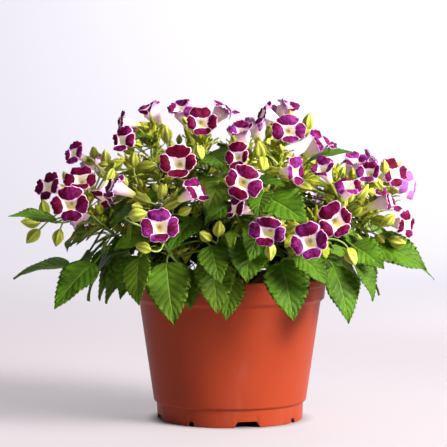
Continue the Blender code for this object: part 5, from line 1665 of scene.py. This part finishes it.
class StageSettings(bpy.types.PropertyGroup):
    """The floor, the camera's place and the lights."""

    floor: colour("Floor", "Colour of the floor and backdrop", (0.29, 0.26, 0.275))
    distance: bpy.props.FloatProperty(
        name="Camera distance", description="From the pot's axis", default=1.484, unit="LENGTH"
    )
    height: bpy.props.FloatProperty(
        name="Camera height", description="Of the camera above the floor", default=0.2193, unit="LENGTH"
    )
    lens: bpy.props.FloatProperty(name="Lens", description="Focal length", default=154.6, unit="CAMERA")
    key: power("Key light", "Power from the right", 13.1)
    top: power("Top light", "Power from above", 4.0)
    backdrop: power("Backdrop light", "Power on the backdrop", 98.0)
    wash: power("Floor light", "Power on the floor behind", 2.3)
    sky: bpy.props.FloatProperty(
        name="Surrounding light", description="Strength of the even light", default=0.05, min=0
    )


class TORENIA_OT_pot(bpy.types.Operator):
    """Makes the moulded plastic pot with its stepped rim, notched foot and drain holes"""

    bl_idname = "torenia.pot"
    bl_label = "Pot"

    def execute(self, context):
        settings = context.scene.torenia_pot
        finish = plastic_finish(tuple(settings.plastic))
        skin = Skin()
        skin.add(turned_pot(settings.sides))
        made = skin.piece("plastic_pot", "pot_plastic", [finish], ["pot"], SHARP_ANGLE)
        ring = np.radians(NOTCH_FIRST_AZIMUTH + 90 * np.arange(4))
        places = [(0.0, 0.0), *zip(DRAIN_RING * np.sin(ring), -DRAIN_RING * np.cos(ring))]
        drill(made, places, FLOOR_UNDERSIDE - DRILL_PAST, FLOOR_UNDERSIDE + FLOOR + DRILL_PAST)
        return {"FINISHED"}


class TORENIA_OT_soil(bpy.types.Operator):
    """Makes the soil with its lumps and loose bits of bark"""

    bl_idname = "torenia.soil"
    bl_label = "Soil"

    def execute(self, context):
        settings = context.scene.torenia_soil
        draw = np.random.default_rng(SEED + 10)
        skin = Skin()
        skin.add(soil_fill(draw))
        for _ in range(settings.crumbs):
            skin.add(crumb(draw))
        finish = soil_finish(tuple(settings.dark), tuple(settings.fibre))
        skin.piece("soil_fill", "potting_soil", [finish], ["soil"])
        return {"FINISHED"}


class TORENIA_OT_stems(bpy.types.Operator):
    """Makes the stems with the stalks, calyxes and buds on them"""

    bl_idname = "torenia.stems"
    bl_label = "Stems and buds"

    def execute(self, context):
        finishes = [stem_finish(), calyx_finish(tuple(context.scene.torenia_plant.calyx))]
        section = square_section()
        draw = np.random.default_rng(SEED + 20)
        for stem in LAYOUT.lines:
            skin = Skin()
            for _, line, thick in (each for each in LAYOUT.stems if each[0] == stem):
                tube(skin, line, np.linspace(thick, STEM_TIP_RADIUS, len(line)), section)
            for each, (start, rise) in zip(BLOOMS, LAYOUT.calyxes):
                if each.stem == stem:
                    calyx(skin, each, start, rise, draw)
            for each, start, rise in LAYOUT.buds:
                if each.stem != stem:
                    continue
                axes = bloom_axes(each.azimuth, each.elevation)
                centre, length = centre_of(each), BUD_LENGTH * each.size
                foot = centre - axes[2] * length / 2
                line = stalk_line(start, foot, axes[2], rise, BUD_STALK_POINTS)
                tube(skin, line, np.linspace(*BUD_STALK, BUD_STALK_POINTS), polygon(ROUND_STALK_SIDES))
                bud(skin, centre, axes, length, BUD_RADIUS * each.size, draw)
            skin.piece("stems_" + stem, "leaves", finishes, [STEM_NODE + stem])
        return {"FINISHED"}


def leaf_tone(leaf, draw):
    """A grown leaf's tone: about 0, and lower the deeper in the dome its middle is, as painted shade."""
    middle = (np.array(leaf.base) + leaf.tip) / 2
    reach = np.linalg.norm((middle - (0, 0, DOME_HEIGHT)) * (1, 1, DOME_REACH / DOME_RISE)) / DOME_REACH
    inside = DOME_SURFACE - reach if middle[2] > PAINTED_SHADE_FROM else 0.0
    tone = draw.uniform(*GROWN_TONES) - PAINTED_SHADE_RATE * max(0, inside)
    return float(np.clip(tone, DEEP_SHADE_TONE, PALEST_GROWN))


def petiole(skin, leaf, start, along, tone, sink, radii, sides):
    """Adds the stalk of a leaf, which runs on into its blade by sink and has the colour of its rib."""
    line = stalk_line(start, np.array(leaf.base) + along * sink, along, 0.05, len(radii))
    tube(skin, line, radii, polygon(sides), across=np.full(sides + 1, 0.5), tone=tone)


class TORENIA_OT_leaves(bpy.types.Operator):
    """Makes the toothed leaves on their petioles"""

    bl_idname = "torenia.leaves"
    bl_label = "Leaves"

    def execute(self, context):
        settings = context.scene.torenia_plant
        colours = (settings.mature, settings.young, settings.vein, settings.under)
        finish = leaf_finish(*(tuple(c) for c in colours))
        draw = np.random.default_rng(SEED + 30)
        radii = np.linspace(*PETIOLE, PETIOLE_POINTS)
        for stem in LAYOUT.lines:
            skin = Skin()
            for leaf, start in (each for each in LAYOUT.leaves if each[0].stem == stem):
                tone = leaf_tone(leaf, draw)
                along = blade(skin, leaf, draw, settings.teeth, tone)
                petiole(skin, leaf, start, along, tone, 1.5, radii, PETIOLE_SIDES)
            if skin.count:
                skin.piece("leaves_" + stem, "leaves", [finish], [STEM_NODE + stem])
        return {"FINISHED"}


class TORENIA_OT_young_growth(bpy.types.Operator):
    """Makes the young leaves and small buds between the flowers, in the finishes of the grown ones"""

    bl_idname = "torenia.young_growth"
    bl_label = "Young growth"

    def execute(self, context):
        leaf_look, stem_look, bud_look = (bpy.data.materials[name] for name in ("leaf", "stem", "calyx"))
        growth = Growth()
        draw = growth.draw
        for stem in LAYOUT.lines:
            leaves, buds = Skin(), Skin()
            for leaf, start, tone in (each for each in growth.leaves if each[0].stem == stem):
                along = blade(
                    leaves, leaf, draw, YOUNG_TEETH, tone, YOUNG_THICKNESS, YOUNG_UPPER, YOUNG_LOWER
                )
                petiole(leaves, leaf, start, along, tone, 1.0, YOUNG_PETIOLE, 3)
            for _, start, low, heading, length in (each for each in growth.buds if each[0] == stem):
                line = stalk_line(start, low, heading, 0.1, len(SMALL_BUD_STALK))
                tube(buds, line, SMALL_BUD_STALK, polygon(3))
                middle, radius = low + heading * length / 2, SMALL_BUD_WIDTH * length
                axes = bloom_axes(*seen_at(heading))
                bud(buds, middle, axes, length, radius, draw, SMALL_BUD_COLUMNS, SMALL_BUD_ROWS)
            leaves.piece("young_leaves_" + stem, "leaves", [leaf_look])
            buds.piece("small_buds_" + stem, "leaves", [stem_look, bud_look])
        return {"FINISHED"}


class TORENIA_OT_petals(bpy.types.Operator):
    """Makes the petals of every flower"""

    bl_idname = "torenia.petals"
    bl_label = "Petals"

    def execute(self, context):
        settings = context.scene.torenia_plant
        finish = petal_finish(*(tuple(c) for c in (settings.burgundy, settings.magenta, settings.white)))
        draw = np.random.default_rng(SEED + 50)
        for number, bloom in enumerate(BLOOMS, 1):
            # Painted shade: a flower that looks up gets a bluish tone at the least, which paints its shaded
            # cup lilac
            least = UPPER_FLOWER_SHADE_TONE * (bloom.elevation > CUP_FROM)
            tone = float(np.clip(draw.normal(*FLOWER_TONES), least, 1))
            skin = Skin()
            corolla(skin, bloom, draw, FADED_TONE if number == FADED_FLOWER else tone)
            node = [f"bloom_{number:02d}"] if number <= BLOOMS_WITH_A_NODE else ()
            skin.piece(f"petals_{number:02d}", "petals", [finish], node)
        return {"FINISHED"}


def aim(made, target):
    """Turns a camera or light so that it looks at a place."""
    made.rotation_euler = (Vector(target) - made.location).to_track_quat("-Z", "Y").to_euler()


def area_light(name, power, place, target, size, tint, spread):
    """A square soft light whose rays spread by that angle in degrees."""
    lamp = bpy.data.lights.new(name, "AREA")
    lamp.size = size
    lamp.energy = power
    lamp.color = tint
    lamp.spread = math.radians(spread)
    made = placed(name, lamp)
    made.location = place
    aim(made, target)


def swept_floor():
    """A mesh that runs level, bends up by a quarter circle behind and rises straight."""
    bend = np.linspace(0, math.pi / 2, FLOOR_BEND_ROWS)
    back = FLOOR_BEND_START + FLOOR_BEND
    y = np.concatenate(([FLOOR_NEAR], FLOOR_BEND_START + FLOOR_BEND * np.sin(bend), [back]))
    z = np.concatenate(([0.0], FLOOR_BEND - FLOOR_BEND * np.cos(bend), [FLOOR_TOP])) - FLOOR_DROP
    x = np.linspace(-FLOOR_HALF_WIDTH, FLOOR_HALF_WIDTH, 3)
    points = np.stack(np.broadcast_arrays(x[None], y[:, None], z[:, None]), axis=2)
    index = np.arange(len(y) * len(x)).reshape(-1, len(x))
    quads = np.stack((index[:-1, :-1], index[:-1, 1:], index[1:, 1:], index[1:, :-1]), axis=2)
    mesh = bpy.data.meshes.new("floor")
    mesh.from_pydata(points.reshape(-1, 3), [], quads.reshape(-1, 4).tolist())
    mesh.shade_smooth()
    return mesh


class TORENIA_OT_stage(bpy.types.Operator):
    """Makes the floor that sweeps up behind, the lights and the camera"""

    bl_idname = "torenia.stage"
    bl_label = "Stage"

    def execute(self, context):
        scene = context.scene
        settings = scene.torenia_stage
        mesh = swept_floor()
        mesh.materials.append(floor_finish(tuple(settings.floor)))
        placed("floor", mesh)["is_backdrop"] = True
        world = bpy.data.worlds.new("surroundings")
        world.use_nodes = True
        sky = world.node_tree.nodes["Background"]
        sky.inputs["Color"].default_value = SKY_TINT
        sky.inputs["Strength"].default_value = settings.sky
        scene.world = world
        for name, how in LIGHTS.items():
            area_light(name, getattr(settings, name), *how)
        lens = bpy.data.cameras.new("camera")
        lens.lens = settings.lens
        camera = placed("camera", lens)
        camera.location = (0, -settings.distance, settings.height)
        aim(camera, CAMERA_TARGET)
        scene.camera = camera
        scene.view_settings.view_transform = "Standard"
        return {"FINISHED"}


class TORENIA_PT_sidebar(bpy.types.Panel):
    """The part's operators and settings"""

    bl_idname = "TORENIA_PT_sidebar"
    bl_label = "Potted torenia"
    bl_space_type = "VIEW_3D"
    bl_region_type = "UI"
    bl_category = "Torenia"

    def draw(self, context):
        for group in SETTINGS:
            settings = getattr(context.scene, group)
            box = self.layout.box()
            for name in settings.__annotations__:
                box.prop(settings, name)
        for operator in OPERATORS:
            self.layout.operator(operator.bl_idname)


SETTINGS = {
    "torenia_pot": PotSettings,
    "torenia_soil": SoilSettings,
    "torenia_plant": PlantSettings,
    "torenia_stage": StageSettings,
}
OPERATORS = (
    TORENIA_OT_stage,
    TORENIA_OT_pot,
    TORENIA_OT_soil,
    TORENIA_OT_stems,
    TORENIA_OT_leaves,
    TORENIA_OT_young_growth,
    TORENIA_OT_petals,
)
CLASSES = (*SETTINGS.values(), *OPERATORS, TORENIA_PT_sidebar)


def register():
    for each in CLASSES:
        bpy.utils.register_class(each)
    for name, group in SETTINGS.items():
        setattr(bpy.types.Scene, name, bpy.props.PointerProperty(type=group))


def unregister():
    for name in SETTINGS:
        delattr(bpy.types.Scene, name)
    for each in reversed(CLASSES):
        bpy.utils.unregister_class(each)


LAYOUT = Layout()


def main():
    """Makes every piece."""
    register()
    for operator in OPERATORS:
        group, name = operator.bl_idname.split(".")
        getattr(getattr(bpy.ops, group), name)()


if __name__ == "__main__":
    main()
